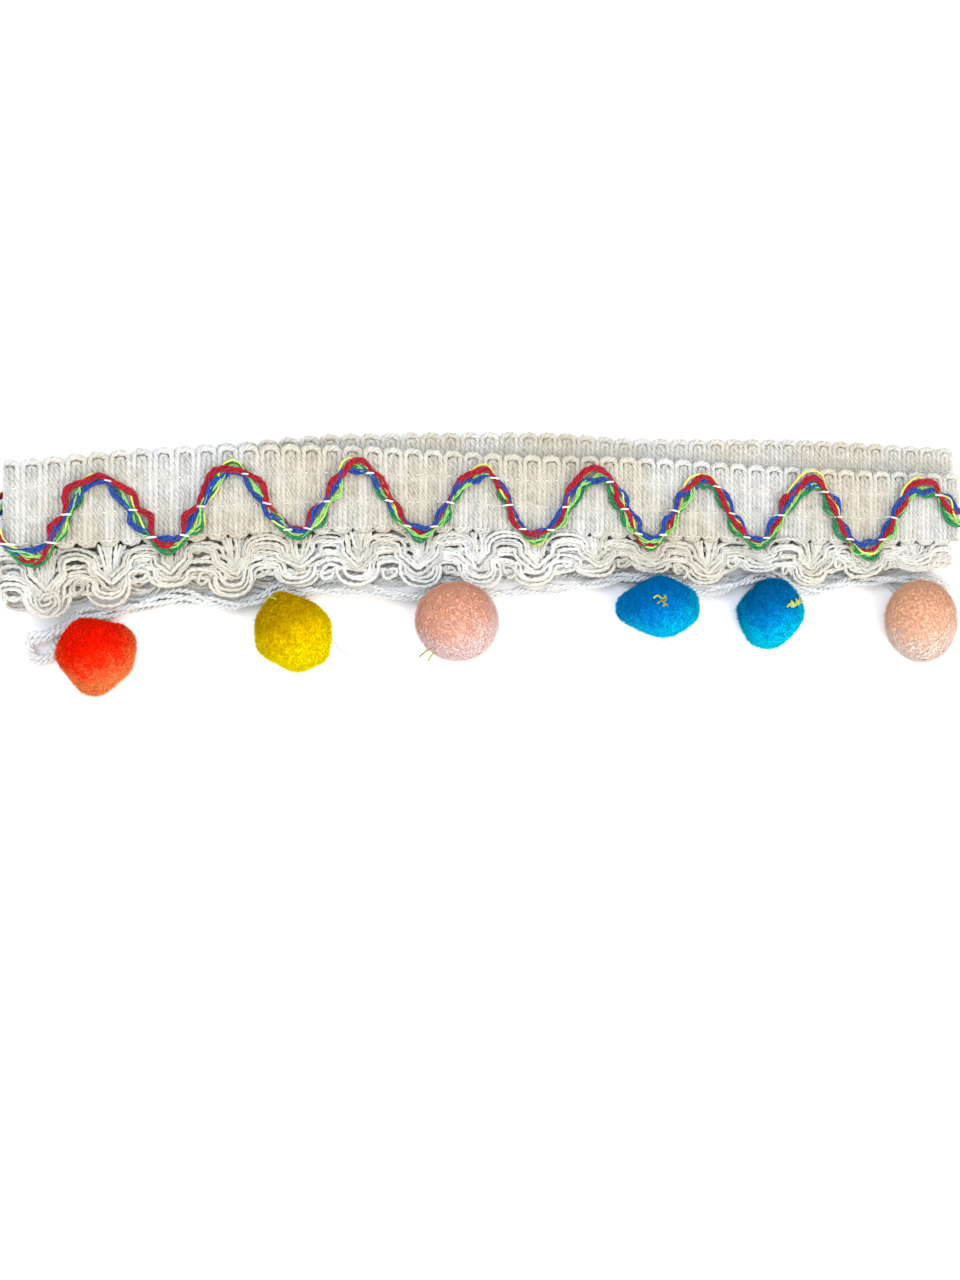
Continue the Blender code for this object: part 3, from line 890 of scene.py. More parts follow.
    def build_binding(self, finish: bpy.types.Material) -> None:
        """Sews the binding stitches, each a small white dot that draws two strands together.

        Args:
            finish: The thread's material.
        """
        guides = Guides(seed=11)
        for share in self.binding_lines:
            for rib in range(2 * self.picots):
                middle = self.along(rib / 2 + 0.25)
                y = self.line_y(middle, share) + guides.random.uniform(-self.stray, self.stray)
                for face in (1, -1):
                    guides.add(self.fold.place(middle + reach, y, face * rest)
                               for reach, rest in self.dot)
        piece = self.spinner.spin("binding_stitches", guides, self.thread, finish)
        self.pieces.append(dress(piece, "cotton_band"))

    def build_sheet(self, finish: bpy.types.Material) -> bpy.types.Object:
        """Makes the thin ground sheet that the ribs cover.

        Args:
            finish: Its material.

        Returns:
            The sheet.
        """
        form = bmesh.new()
        rows = []
        per_picot, across = 8, 6   # so that every second row is a soft ridge under a strand
        for i in range(per_picot * self.picots + 1):
            along = self.along(i / per_picot)
            half = self.sheet_half * (0.7 + 0.3 * math.sin(math.pi * i / 2) ** 2)
            top = self.fold.edge(along, PICOT_EDGE) - self.sheet_top
            bottom = self.fold.edge(along, BOTTOM_EDGE) + self.sheet_bottom
            ys = [top + (bottom - top) * k / across for k in range(across + 1)]
            ring = [(y, half) for y in ys] + [(y, -half) for y in reversed(ys)]
            rows.append([form.verts.new(self.fold.place(along, y, offset)[0]) for y, offset in ring])
        for here, there in zip(rows, rows[1:]):
            for k in range(len(here)):
                m = (k + 1) % len(here)
                form.faces.new((here[k], here[m], there[m], there[k]))
        form.faces.new(list(reversed(rows[0])))
        form.faces.new(rows[-1])
        bmesh.ops.recalc_face_normals(form, faces=form.faces)
        mesh = bpy.data.meshes.new("band_ground")
        form.to_mesh(mesh)
        form.free()
        mesh.shade_smooth()
        mesh.materials.append(finish)
        item = bpy.data.objects.new("band_ground", mesh)
        bpy.context.scene.collection.objects.link(item)
        return dress(item, "cotton_band", "band")


@dataclass(frozen=True)
class Strand:
    """One colour of the braid.

    across, across_far and up are where it runs on the rising leg, at the peak, on the falling leg and
    at the trough. The first two hold near the fold and near the cut ends, as a share of the braid's
    half width, to the left of someone who goes along the upper layer from the fold. up is in
    millimetres above the braid's middle.
    """

    name: str
    light: str
    dark: str
    across: tuple[float, float, float, float]
    across_far: tuple[float, float, float, float]
    up: tuple[float, float, float, float]
    gauge: Gauge
    fuzz: float = 0.5


@dataclass
class WavyBraid:
    """The braid: loose coloured strands that wave along the band and are stitched down."""

    spinner: YarnSpinner
    tufter: PileTufter
    band: Band
    fold: Fold = Fold(BAND_LOW, BAND_HIGH, 0.5)
    half_wide: float = 1.42        # half its width where it lies loose
    slack: float = 1.15            # how much wider it is between two stitches
    pinch: float = 0.36            # and how narrow under one, as shares of that
    pinch_reach: float = 1.9       # how far along a stitch draws it in
    offset: float = 1.75           # height of its middle over the band's
    roundness: float = 0.3         # how much fuller than a sine its waves are
    half_wave: float = 13.1        # from peak to trough on the lower layer
    below_top: float = 5.0         # how far its peaks lie below the picot edge there
    above_bottom: float = 2.4      # and its troughs above the bottom edge
    cut_y: float = 11.1            # where it is cut on the upper layer
    steps: int = 16                # points in half a wave
    far: float = 70.0              # the strands change from across to across_far over this length,
    near: float = 0.7              # and keep to across up to this share of it
    drift_length: float = 5.0      # how far along a strand's straying lasts
    drift_wide: float = 1.3
    drift_high: float = 0.7
    fuzz_length: float = 1.1
    strands: tuple[Strand, ...] = (
        Strand("braid_blue", "2050ac", "0a1856",
               (0.15, -0.75, -0.85, 0.75), (0.6, -0.6, 0.9, 0.75), (0.3, 0.1, 0.0, 0.2),
               Gauge(3, 0.28, 0.42, 0.18, 10.0, 0.62, sides=5, wander=0.5, wander_length=4.0)),
        Strand("braid_red", "bd0c2a", "660416",
               (0.85, 0.55, 0.85, -0.05), (0.15, 0.4, -0.05, 0.0), (0.05, 0.4, 0.35, -0.2),
               Gauge(4, 0.3, 0.42, 0.24, 9.0, 0.66, sides=5, wander=0.45, wander_length=4.0), 1.8),
        Strand("braid_green", "249656", "084a2a",
               (-0.95, 0.7, -0.15, -0.9), (-0.95, -0.85, -0.9, -0.95), (-0.2, -0.1, -0.1, 0.0),
               Gauge(2, 0.29, 0.34, 0.14, 8.0, 0.6, sides=5, wander=0.5, wander_length=4.0)),
        Strand("braid_lime", "a6dc7c", "4c9840",
               (-0.55, 0.1, 0.0, -0.35), (-0.65, -0.25, -0.6, -0.7), (0.25, 0.0, -0.1, 0.25),
               Gauge(2, 0.25, 0.29, 0.12, 7.0, 0.6, sides=5, wander=0.6, wander_length=4.0)),
        Strand("braid_yellow", "ecec88", "c0b848",
               (-0.8, 0.85, 0.3, -0.6), (-0.25, 0.85, 0.45, -0.5), (-0.2, 0.1, 0.2, -0.2),
               Gauge(1, 0.25, 0.0, 0.0, 8.0, 0.6, sides=5, wander=0.5)),
    )
    stitch: Gauge = Gauge(1, 0.2, 0.0, 0.0, 5.0, 0.3, sides=6)
    stitch_half: float = 1.05      # half a stitch's length over the braid
    stitch_tilt: float = 0.12
    stitch_high: float = 2.25      # greatest height of a stitch over the band's middle
    pieces: list[bpy.types.Object] = field(default_factory=list)

    def path(self) -> list[tuple[float, float, float]]:
        """Runs the braid's middle line through its bends on both layers.

        Returns:
            The line, as bent_path gives it.
        """
        bends = [(self.fold.along(X_CUT, Side.UPPER), self.cut_y)]
        bends += [(self.fold.along(x, Side.UPPER), y) for x, y in reversed(BRAID_BENDS)]
        along = bends[-1][0] + self.half_wave
        is_peak = True
        while along < self.fold.end - self.half_wave / 3:
            y = (self.fold.edge(along, PICOT_EDGE) - self.below_top if is_peak
                 else self.fold.edge(along, BOTTOM_EDGE) + self.above_bottom)
            bends.append((along, y))
            is_peak = not is_peak
            along += self.half_wave
        path = bent_path(bends, self.steps, lambda at_peak: self.roundness)
        return [point for point in path if abs(point[0]) <= self.fold.end]

    def ties(self, path: Sequence[tuple[float, float, float]]) -> list[float]:
        """Finds where the path is stitched: where it crosses the binding lines.

        The upper line holds the braid only on every second crossing.

        Args:
            path: The braid's middle line.

        Returns:
            The crossings as fractional indexes of the path.
        """
        found = []
        for n, share in enumerate(self.band.binding_lines):
            crossings = []
            gaps = [y - self.band.line_y(along, share) for along, y, _ in path]
            for i, (here, there) in enumerate(zip(gaps, gaps[1:])):
                if here * there < 0:
                    crossings.append(i + here / (here - there))
            found += crossings[::2] if n == 0 else crossings
        return sorted(found)

    def build(self, finishes: dict[str, bpy.types.Material], white: bpy.types.Material) -> None:
        """Spins each colour, and the white stitches over them.

        Args:
            finishes: Each strand's material, by the strand's name.
            white: The stitches' material.
        """
        path = self.path()
        ties = self.ties(path)
        lengths = np.cumsum([0.0] + [math.dist(a[:2], b[:2]) for a, b in zip(path, path[1:])])
        tie_at = np.interp(ties, range(len(path)), lengths)
        for strand in self.strands:
            guides = Guides(len(strand.name))
            line, gauges = [], []
            for i, (along, y, phase) in enumerate(path):
                near = float(np.min(np.abs(tie_at - lengths[i])))
                loose = 1 - math.exp(-(near / self.pinch_reach) ** 2)
                squeeze = self.pinch + (self.slack - self.pinch) * loose
                quarter = (3.0 - 2.0 * phase) % 4
                across, far, up = (self.keyed(keys, quarter)
                                   for keys in (strand.across, strand.across_far, strand.up))
                across += (far - across) * min(max(abs(along) / self.far - self.near, 0.0), 1.0)
                seat = Vector((lengths[i] / self.drift_length, 3.7 * strand.across[0], 0.0))
                drift = noise.noise_vector(seat)
                across += self.drift_wide * drift.x
                up += self.drift_high * drift.y
                side = beside(path, i) * across * squeeze * self.half_wide
                line.append(self.fold.place(along + side.x, y + side.y, self.offset + up * squeeze))
                gauges.append(0.6 + 0.4 * squeeze)
            guides.add(line, gauges)
            piece = self.spinner.spin(strand.name, guides, strand.gauge, finishes[strand.name])
            piece = self.tufter.fuzz(piece, strand.fuzz, self.fuzz_length, finishes[strand.name])
            self.pieces.append(dress(piece, "braid_threads"))
        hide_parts("wavy_braid")
        guides = Guides(seed=5)
        for tie in ties:
            i = min(int(tie), len(path) - 2)
            t = tie - i
            along = path[i][0] + (path[i + 1][0] - path[i][0]) * t
            y = path[i][1] + (path[i + 1][1] - path[i][1]) * t
            tilt = self.stitch_tilt * guides.random.uniform(-1, 2)
            stitch = []
            for k in range(-4, 5):
                reach = self.stitch_half * k / 4
                height = 0.3 + (self.offset + 0.35) * math.sqrt(max(1 - (k / 4) ** 2, 0.0)) ** 0.6
                stitch.append(self.fold.place(along + reach, y + tilt * reach,
                                              min(height, self.stitch_high)))
            guides.add(stitch)
        piece = self.spinner.spin("braid_stitches", guides, self.stitch, white)
        self.pieces.append(dress(piece, "braid_threads"))

    @staticmethod
    def keyed(keys: Sequence[float], quarter: float) -> float:
        """Reads a value between the rising leg, peak, falling leg and trough, smoothly.

        Args:
            keys: The value at each of them.
            quarter: How many quarter waves after the rising leg it is read.

        Returns:
            The value there.
        """
        i = int(quarter)
        t = quarter - i
        t = t * t * (3 - 2 * t)
        return keys[i % 4] + (keys[(i + 1) % 4] - keys[i % 4]) * t


@dataclass(frozen=True)
class Bundle:
    """One of the fringe's two bundles.

    drop is how far its arches lie below the band, as a share of the fringe's height, and lift how far
    its turns lie above the lowest line, as a share of the height over 3 mm. The rounds are how much
    fuller than a sine they are. level is its height over the layer's middle, at_arch and at_turn are
    half its width, and heave is how far single arches rise.
    """

    drop: float
    lift: float
    arch_round: float
    turn_round: float
    level: float
    strands: int
    at_arch: float
    at_turn: float
    heave: float


@dataclass
class ScrollFringe:
    """The fringe: two nested bundles of gimp, bent to and fro below the band, with fans and coils.

    A fan of short strands fills the gap between two arches, a coil lies beside each lower turn, and
    a few filling strands lie behind.
    """

    spinner: YarnSpinner
    fold: Fold = Fold(1.1, 4.4)
    pitch: float = 12.6            # from turn to turn on the lower layer
    drop: float = 12.0             # how far the turns reach below the band there
    steps: int = 12                # points in half a turn
    inset: float = 2.4             # how far inside the cut ends the bundles stop
    parting: float = 14.0          # along where the lower piece takes over from the upper one
    bundles: tuple[Bundle, ...] = (Bundle(0.08, 0.33, 1.3, -0.7, 0.3, 6, 1.85, 1.2, 2.2),
                                   Bundle(0.46, 0.02, 1.2, 0.8, -0.1, 5, 1.3, 1.3, 0.8))
    drift_wide: float = 1.3        # how far a strand strays in its bundle
    drift_high: float = 0.9
    roll: float = 1.7              # how far a bundle rolls over, in radians
    seed: int = 8
    yarn: Gauge = Gauge(2, 0.31, 0.15, 0.13, 2.8, 0.74, sides=5, wander=0.3, wander_length=2.4)
    core: Gauge = Gauge(2, 0.4, 0.3, 0.15, 4.0, 0.9, sides=4, wander=0.5, wander_length=3.0)
    core_shares: tuple[float, ...] = (0.14, 0.32, 0.5, 0.68)   # of the way down the fringe
    core_offset: float = -0.5      # how far the filling lies behind the layer's middle
    core_steps: int = 300
    pieces: list[bpy.types.Object] = field(default_factory=list)

    @property
    def lows(self) -> list[tuple[float, float]]:
        """The turns with the strip's ends, as a table of the fringe's lowest line."""
        turns = self.turns()
        return [(-self.fold.end, turns[0][1]), *turns, (self.fold.end, turns[-1][1])]

    def turns(self) -> list[tuple[float, float]]:
        """Lists the lower turns, from the upper layer's cut end round the fold.

        Returns:
            (along, lowest y) of each.
        """
        turns = [(self.fold.along(x, Side.UPPER), y) for x, y in reversed(FRINGE_TURNS)]
        along = turns[-1][0] + self.pitch
        while self.fold.x_of(along) < X_CUT - self.pitch / 2:
            at = max(along, self.fold.quarter)
            turns.append((at, self.fold.edge(at, BOTTOM_EDGE) - self.drop))
            along += self.pitch
        return turns

    def middle(self, bundle: Bundle, random: Random) -> list[tuple[float, float, float]]:
        """Runs a bundle's middle line.

        Args:
            bundle: The bundle.
            random: Makes the arches and turns a little uneven.

        Returns:
            The line, as bent_path gives it.
        """
        turns = self.turns()
        end = self.fold.end - self.inset
        bends = [(-end, self.fold.edge(-end, BOTTOM_EDGE) - 1.0)]
        for i, (along, lowest) in enumerate(turns):
            room = self.fold.edge(along, BOTTOM_EDGE) - lowest
            bends.append((along + random.uniform(-0.7, 0.7),
                          lowest + 1.1 + bundle.lift * max(room - 3.0, 0.0) + random.uniform(-0.1, 0.9)))
            arch = (along + turns[i + 1][0]) / 2 if i + 1 < len(turns) else end
            y = self.fold.edge(arch, BOTTOM_EDGE) - bundle.drop * room + random.uniform(-0.8, 0.6)
            bends.append((arch + random.uniform(-0.8, 0.8), y))
        return bent_path(bends, self.steps,
                         lambda at_peak: bundle.arch_round if at_peak else bundle.turn_round)

    def strand(self, bundle: Bundle, path: Sequence[tuple[float, float, float]], i: int, share: float,
               sway: float) -> tuple[Vector, Vector]:
        """Places a point of a bundle's strand.

        Args:
            bundle: The bundle.
            path: Its middle line.
            i: The point of the middle line that it lies beside.
            share: Where the strand lies across the bundle, from -1 to 1.
            sway: Where the strand reads the noise that it strays by.

        Returns:
            The point, as Fold.place gives it.
        """
        along, y, phase = path[i]
        wave = 0.5 + 0.5 * math.cos(math.pi * phase)
        drift = noise.noise_vector(Vector((sway, phase * 0.9, 0.0)))
        half = share * (bundle.at_turn + (bundle.at_arch - bundle.at_turn) * wave)
        roll = self.roll * noise.noise(Vector((0.55 * phase, 7.0 * bundle.level, 1.0)))
        side = beside(path, i) * (half * math.cos(roll) + self.drift_wide * drift.x)
        bulge = noise.noise(Vector((0.37 * round(phase), bundle.level, 0.5)))
        up = (bundle.level + self.drift_high * drift.y - 0.15 * abs(share)
              + bundle.heave * bulge * wave ** 2 + 0.5 * half * math.sin(roll))
        return self.fold.place(along + side.x, y + side.y, up)

    def build(self, finish: bpy.types.Material) -> None:
        """Spins both bundles, the upper layer with the fold and the lower layer apart.

        Args:
            finish: The gimp's material.
        """
        random = Random(self.seed)
        paths = [self.middle(bundle, random) for bundle in self.bundles]
        for name, low, high in (("fringe_upper", -math.inf, self.parting),
                                ("fringe_lower", self.parting, math.inf)):
            guides = Guides(len(name))
            for bundle, path in zip(self.bundles, paths):
                kept = [i for i, point in enumerate(path) if low <= point[0] <= high]
                for n in range(bundle.strands):
                    share = 2 * n / (bundle.strands - 1) - 1
                    sway = guides.random.uniform(0, 50)
                    guides.add([self.strand(bundle, path, i, share, sway) for i in kept])
            for along, lowest in self.turns():
                if low <= along <= high:
                    self.fan(guides, along, lowest)
                    is_end = abs(along - self.fold.along(FRINGE_TURNS[0][0], Side.UPPER)) < 0.1
                    self.coil(guides, along, lowest, is_end)
            self.pieces.append(dress(self.spinner.spin(name, guides, self.yarn, finish), "cotton_gimp"))
        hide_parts("scroll_fringe")

    def build_core(self, finish: bpy.types.Material) -> None:
        """Runs the filling strands, which lie behind the arches at several heights.

        Args:
            finish: The gimp's material.
        """
        guides = Guides(seed=17)
        for n, share in enumerate(self.core_shares):
            line = []
            for k in range(1, self.core_steps):
                along = self.fold.end * (2 * k / self.core_steps - 1)
                top = self.fold.edge(along, BOTTOM_EDGE)
                low = along_rows(self.lows, along, 1)
                drift = noise.noise_vector(Vector((along / 4, 9.0 * n, 0.0)))
                y = top + (low - top) * share + self.drift_wide * drift.x
                line.append(self.fold.place(along, y, self.core_offset + 0.5 * drift.y))
            guides.add(line)
        piece = self.spinner.spin("fringe_core", guides, self.core, finish)
        self.pieces.append(dress(piece, "cotton_gimp"))

    def fan(self, guides: Guides, along: float, lowest: float) -> None:
        """Lays the short strands that run from the band down between two arches.

        Args:
            guides: What the strands are added to.
            along: Where the lower turn below them is.
            lowest: That turn's lowest y.
        """
        top = self.fold.edge(along, BOTTOM_EDGE) + 0.2
        low = lowest + 1.6 + 0.38 * max(top - lowest - 3.0, 0.0)
        for n in range(-3, 4):
            lean = guides.random.uniform(-0.5, 0.5)
            line = []
            for k in range(9):
                share = k / 8
                spread = 0.55 * (1 - share) ** 1.5 + 0.34
                line.append(self.fold.place(along + n * spread + lean * math.sin(4 * share),
                                            top + (low - top) * share,
                                            -0.1 + 0.4 * math.sin(math.pi * share) - 0.1 * abs(n)))
            guides.add(line)

    def coil(self, guides: Guides, along: float, lowest: float, is_end: bool) -> None:
        """Lays the small coil beside a lower turn, or the larger one at the fold.

        Args:
            guides: What the coil is added to.
            along: Where the turn is.
            lowest: Its lowest y.
            is_end: Whether it is the one at the fold.
        """
        reach, turns = (3.0, 2.6) if is_end else (guides.random.uniform(1.3, 2.2), 1.2)
        middle = along if is_end else along + self.pitch / 2
        room = self.fold.edge(middle, BOTTOM_EDGE) - lowest
        y = lowest + (4.0 if is_end else room * guides.random.uniform(0.26, 0.42))
        start = guides.random.uniform(0, TURN)
        line = []
        for k in range(round(16 * turns)):
            share = k / (16 * turns)
            angle = start + TURN * turns * share
            radius = 0.5 + (reach - 0.5) * share + 0.25 * math.sin(2.3 * angle + start)
            height = (0.5 if is_end else 0.1) + 0.4 * math.sin(1.7 * angle + start)
            line.append(self.fold.place(middle + radius * math.cos(angle),
                                        y + radius * math.sin(angle) * 0.9, height))
        guides.add(line)


@dataclass(frozen=True)
class Ball:
    """A pompom's place, size and outline, in millimetres.

    A lump is (direction in degrees from +X towards +Y, how far it stands out, how narrow it is), and a
    facet (direction, distance of that flatter side). pile is its material's colours, from deep to pale.
    """

    name: str
    slot: str
    side: Side
    x: float
    y: float
    width: float
    height: float
    thick: float
    lumps: tuple[tuple[float, float, float], ...]
    pile: tuple[str, str, str]
    facets: tuple[tuple[float, float], ...] = ()
    flat: float = 0.03             # how far it is sunk, as a share of its thickness
    grain: float = 0.012           # how uneven its outline is, as a share
    sharpness: float = 20.0        # how sharp the corners between its facets are
    corner: float = 0.13           # how far its faceted sides stand out, as a share

    def size(self, way: Vector) -> float:
        """Gives how far the pile stands out in a direction.

        Args:
            way: The direction.

        Returns:
            A share of the round form.
        """
        size = 1.0 + self.grain * noise.noise(way * 2.4 + Vector((self.x, self.y, 0.0)))
        for degrees, stands_out, narrow in self.lumps:
            size += stands_out * math.exp(-narrow * (1.0 - way.dot(heading(degrees))))
        return size

    def clipped(self, way: Vector, size: float) -> float:
        """Draws a size in behind the flatter sides, with soft corners between them.

        Args:
            way: The direction.
            size: The size in it.

        Returns:
            The clipped size.
        """
        total = size ** -self.sharpness
        for degrees, distance in self.facets:
            total += (max(way.dot(heading(degrees)), 0.0) / distance) ** self.sharpness
        return total ** (-1.0 / self.sharpness)

    def surface(self, way: Vector, depth: float) -> Vector:
        """Gives a point of the pile's surface.

        Args:
            way: The direction from the ball's middle.
            depth: How far below the tips it is.

        Returns:
            The point.
        """
        reach = Vector((way.x * self.width, way.y * self.height, way.z * self.thick)) / 2
        corners = self.corner * (1.0 - abs(way.z)) ** 2 if self.facets else 0.0
        reach *= self.clipped(way, self.size(way) + corners)
        reach -= reach.normalized() * depth
        place = Vector((self.x, self.y, self.thick * (0.5 - self.flat))) + reach
        place.z = max(place.z, PILE_FOOT)
        return place

    def reach(self, x: float, z: float) -> float | None:
        """Finds y of the ball's upper side.

        Args:
            x: Where along the trim.
            z: How high.

        Returns:
            y there, or None where the ball doesn't reach.
        """
        across = (x - self.x) / (self.width / 2)
        up = (z + self.thick * self.flat - self.thick / 2) / (self.thick / 2)
        size = 1.0
        for _ in range(4):         # the size depends on the direction, and the other way round
            inside = size * size - across * across - up * up
            if inside <= 0:
                return None
            size = self.size(Vector((across, math.sqrt(inside), up)).normalized())
        return self.y + self.height / 2 * math.sqrt(max(size * size - across * across - up * up, 0.0))


BALLS = (
    Ball("pompom_orange", "pile_orange", Side.UPPER, -85.1, -20.0, 15.2, 15.4, 14.0,
         ((-95, 0.10, 7), (25, 0.10, 9), (92, -0.07, 14), (160, 0.03, 6), (-30, -0.03, 6)),
         ("f21000", "ff2404", "ff8c50"),
         ((80, 0.90), (40, 1.07), (-8, 0.95), (-50, 0.88), (-142, 0.93), (158, 1.06), (131, 1.08),
          (-97, 1.06))),
    Ball("pompom_yellow", "pile_yellow", Side.LOWER, -46.4, -15.2, 15.5, 17.0, 14.5,
         ((135, 0.06, 12), (-85, 0.07, 7), (-25, 0.05, 8), (-150, -0.05, 5), (70, -0.03, 8)),
         ("b88e00", "ecc600", "fce800"),
         ((72, 0.82), (46, 0.90), (-5, 1.02), (-71, 1.0), (-115, 0.88), (180, 1.0), (139, 0.98))),
    Ball("pompom_pink", "pile_pink", Side.UPPER, -12.2, -13.1, 17.5, 16.6, 15.5,
         ((-60, 0.02, 5), (170, 0.02, 8)),
         ("e6a484", "ecb09a", "fce2e2")),
    Ball("pompom_blue_left", "pile_blue", Side.LOWER, 32.4, -10.0, 18.1, 13.1, 13.0,
         ((190, 0.05, 8), (-50, 0.03, 6), (-140, -0.04, 6)),
         ("046cac", "0684d4", "08ccff"),
         ((0, 1.0), (56, 0.98), (131, 0.86), (180, 1.02), (-124, 0.84), (-90, 1.0), (-48, 0.96))),
    Ball("pompom_blue_right", "pile_blue", Side.UPPER, 58.1, -11.1, 14.8, 15.7, 13.5,
         ((8, 0.07, 14), (-32, -0.07, 14), (28, -0.10, 16), (-115, 0.03, 6), (150, 0.03, 8)),
         ("046098", "068cd8", "08dcff"),
         ((134, 0.78), (90, 0.98), (45, 0.98), (0, 1.02), (-47, 0.84), (-100, 1.0), (202, 0.84))),
    Ball("pompom_peach", "pile_peach", Side.LOWER, 94.2, -12.7, 16.2, 18.5, 15.0,
         ((-70, 0.02, 5), (110, -0.02, 6)),
         ("f2b48c", "f8c2a2", "fce6de")),
)


@dataclass
class EdgeCord:
    """The cords along the fringe's lower edge, which carry the pompoms: two that cross and a looser one.

    cords are (phase of its crossing, width of its swing, slack) of each.
    """

    spinner: YarnSpinner
    fringe: ScrollFringe
    radius: float = 0.8            # half the thickness that the cords take up together
    gap: float = 0.3               # clear space to the fringe and the pompoms
    start_drop: float = 1.6        # how far it sinks towards the upper layer's cut end
    finish_rise: float = 0.8       # and rises towards the lower layer's
    loop_clear: tuple[float, float] = (3.0, 5.0)   # it bends nowhere else this near its loop's ends
    low: float = 0.8               # height of its middle on the lower layer
    high: float = 2.8              # and on the upper one
    yarn: Gauge = Gauge(2, 0.3, 0.27, 0.25, 2.6, 0.45, sides=6, wander=0.25, wander_length=5.0)
    cords: tuple[tuple[float, float, float], ...] = ((0.0, 1.0, 0.0), (0.5, 1.0, 0.0), (0.22, 1.7, 0.9))
    step: float = 1.2              # from point to point
    apart: float = 0.62            # how far the cords swing to each side of the middle
    lift: float = 0.25             # and up and down
    cross: float = 19.0            # length in which they cross twice
    slack_length: float = 7.0
    lowest: float = 0.62           # least height of a cord's middle
    loop_x: float = -87.0          # the cords thicken left of here, in their loop
    loop_thick: float = 0.35       # by this share
    loop_fade: float = 4.0         # over this length

    def knots(self, turns: Iterable[tuple[float, float]], side: Side, z: float) -> list[tuple]:
        """Gives the points that the cord passes: under each turn and over each pompom.

        Args:
            turns: x and lowest y of the layer's turns.
            side: The layer.
            z: The cord's height there.

        Returns:
            The points, in order of x.
        """
        carried = [ball for ball in BALLS if ball.side is side]
        knots = [(b.x, b.reach(b.x, z) + self.gap + self.radius, z) for b in carried]
        for x, lowest in turns:
            if all(abs(x - ball.x) > self.fringe.pitch / 4 for ball in carried):
                knots.append((x, lowest - self.gap - self.radius, z))
        return sorted(knots)

    def route(self) -> list[Vector]:
        """Runs the cord's middle line along the upper layer, round its loop and back below.

        Returns:
            The line's points.
        """
        fold = self.fringe.fold
        lower_turns = [(fold.x_of(along), y) for along, y in self.fringe.turns() if along > 0]
        upper = self.knots(FRINGE_TURNS, Side.UPPER, self.high)
        lower = self.knots(lower_turns, Side.LOWER, self.low)
        start = (X_CUT - self.radius, upper[-1][1] - self.start_drop, self.high)
        finish = (X_CUT - self.radius, lower[-1][1] + self.finish_rise, self.low)
        inner = [knot for knot in reversed(upper) if knot[0] > CORD_LOOP[0][0] + self.loop_clear[0]]
        outer = [knot for knot in lower if knot[0] > CORD_LOOP[-1][0] + self.loop_clear[1]]
        knots = [Vector(knot) for knot in (start, *inner, *CORD_LOOP, *outer, finish)]
        line = smooth_line(knots, lambda length: max(2, round(length / self.step)))
        for place in line:
            for ball in BALLS:
                reach = ball.reach(place.x, place.z + self.radius * 0.7)
                if reach is not None and place.y > ball.y:
                    place.y = max(place.y, reach + self.gap + self.radius)
        return line

    def build(self, finish: bpy.types.Material) -> bpy.types.Object:
        """Spins the cords round their middle line.

        Args:
            finish: Their material.

        Returns:
            The piece.
        """
        line = self.route()
        guides = Guides(seed=21)
        up = Vector((0.0, 0.0, 1.0))
        lengths = np.cumsum([0.0] + [(b - a).length for a, b in zip(line, line[1:])])
        for phase, wide, slack in self.cords:
            places, gauges = [], []
            for i, place in enumerate(line):
                way = (line[min(i + 1, len(line) - 1)] - line[max(i - 1, 0)]).normalized()
                side = up.cross(way).normalized()
                turn = TURN * (lengths[i] / self.cross + phase)
                moved = (place + side * self.apart * wide * math.cos(turn)
                         + up * self.lift * math.sin(turn))
                moved.y += slack * (0.5 + 0.5 * math.sin(lengths[i] / self.slack_length))
                moved.z = max(moved.z, self.lowest)
                places.append(((moved + SHIFT) * MM, up))
                in_loop = min(max((self.loop_x - place.x) / self.loop_fade, 0.0), 1.0)
                gauges.append(1.0 + self.loop_thick * in_loop)
            guides.add(places, gauges)
        piece = self.spinner.spin("edge_cords", guides, self.yarn, finish)
        return dress(piece, "cotton_gimp", "edge_cord")


@dataclass
class PompomMaker:
    """Builds the pompoms: a lumpy core and cut fibres all over it."""

    tufter: PileTufter
    detail: int = 4                # subdivisions of the core
    depth: float = 0.4             # how far the core lies below the pile's tips
    dent: float = 0.12             # how uneven it is
    fibre: float = 0.62            # length of a fibre
    fibre_radius: float = 0.13
    density: float = 11.0          # fibres a square millimetre
    strays: float = 0.75           # and longer ones that stand out
    stray: float = 0.9             # length of those
    tilt: tuple[float, float, float] = (0.6, 0.6, math.pi)

    def core(self, ball: Ball) -> bpy.types.Mesh:
        """Makes the core on which the fibres stand.

        Args:
            ball: The pompom.

        Returns:
            The core's mesh.
        """
        form = bmesh.new()
        bmesh.ops.create_icosphere(form, subdivisions=self.detail, radius=1.0)
        for vert in form.verts:
            way = vert.co.normalized()
            dent = self.dent * noise.noise(way * 5.0 + Vector((ball.x, 0.0, 0.0)))
            vert.co = (ball.surface(way, self.depth + dent) + SHIFT) * MM
        mesh = bpy.data.meshes.new(ball.name)
        form.to_mesh(mesh)
        form.free()
        return mesh

    def build(self, ball: Ball, finish: bpy.types.Material, seed: int) -> bpy.types.Object:
        """Tufts one pompom.

        Args:
            ball: The pompom.
            finish: Its material.
            seed: Fixes where the fibres stand.

        Returns:
            The piece.
        """
        piece = self.tufter.apply("pile_" + ball.name, self.core(ball), {
            "Density": self.density / MM ** 2, "Seed": seed, "Length": self.fibre * MM,
            "Radius": self.fibre_radius * MM, "Tilt": self.tilt, "Lowest": 0.0, "Finish": finish})
        piece = self.tufter.fuzz(piece, self.strays, self.stray, finish)
        return dress(piece, ball.slot, ball.name)


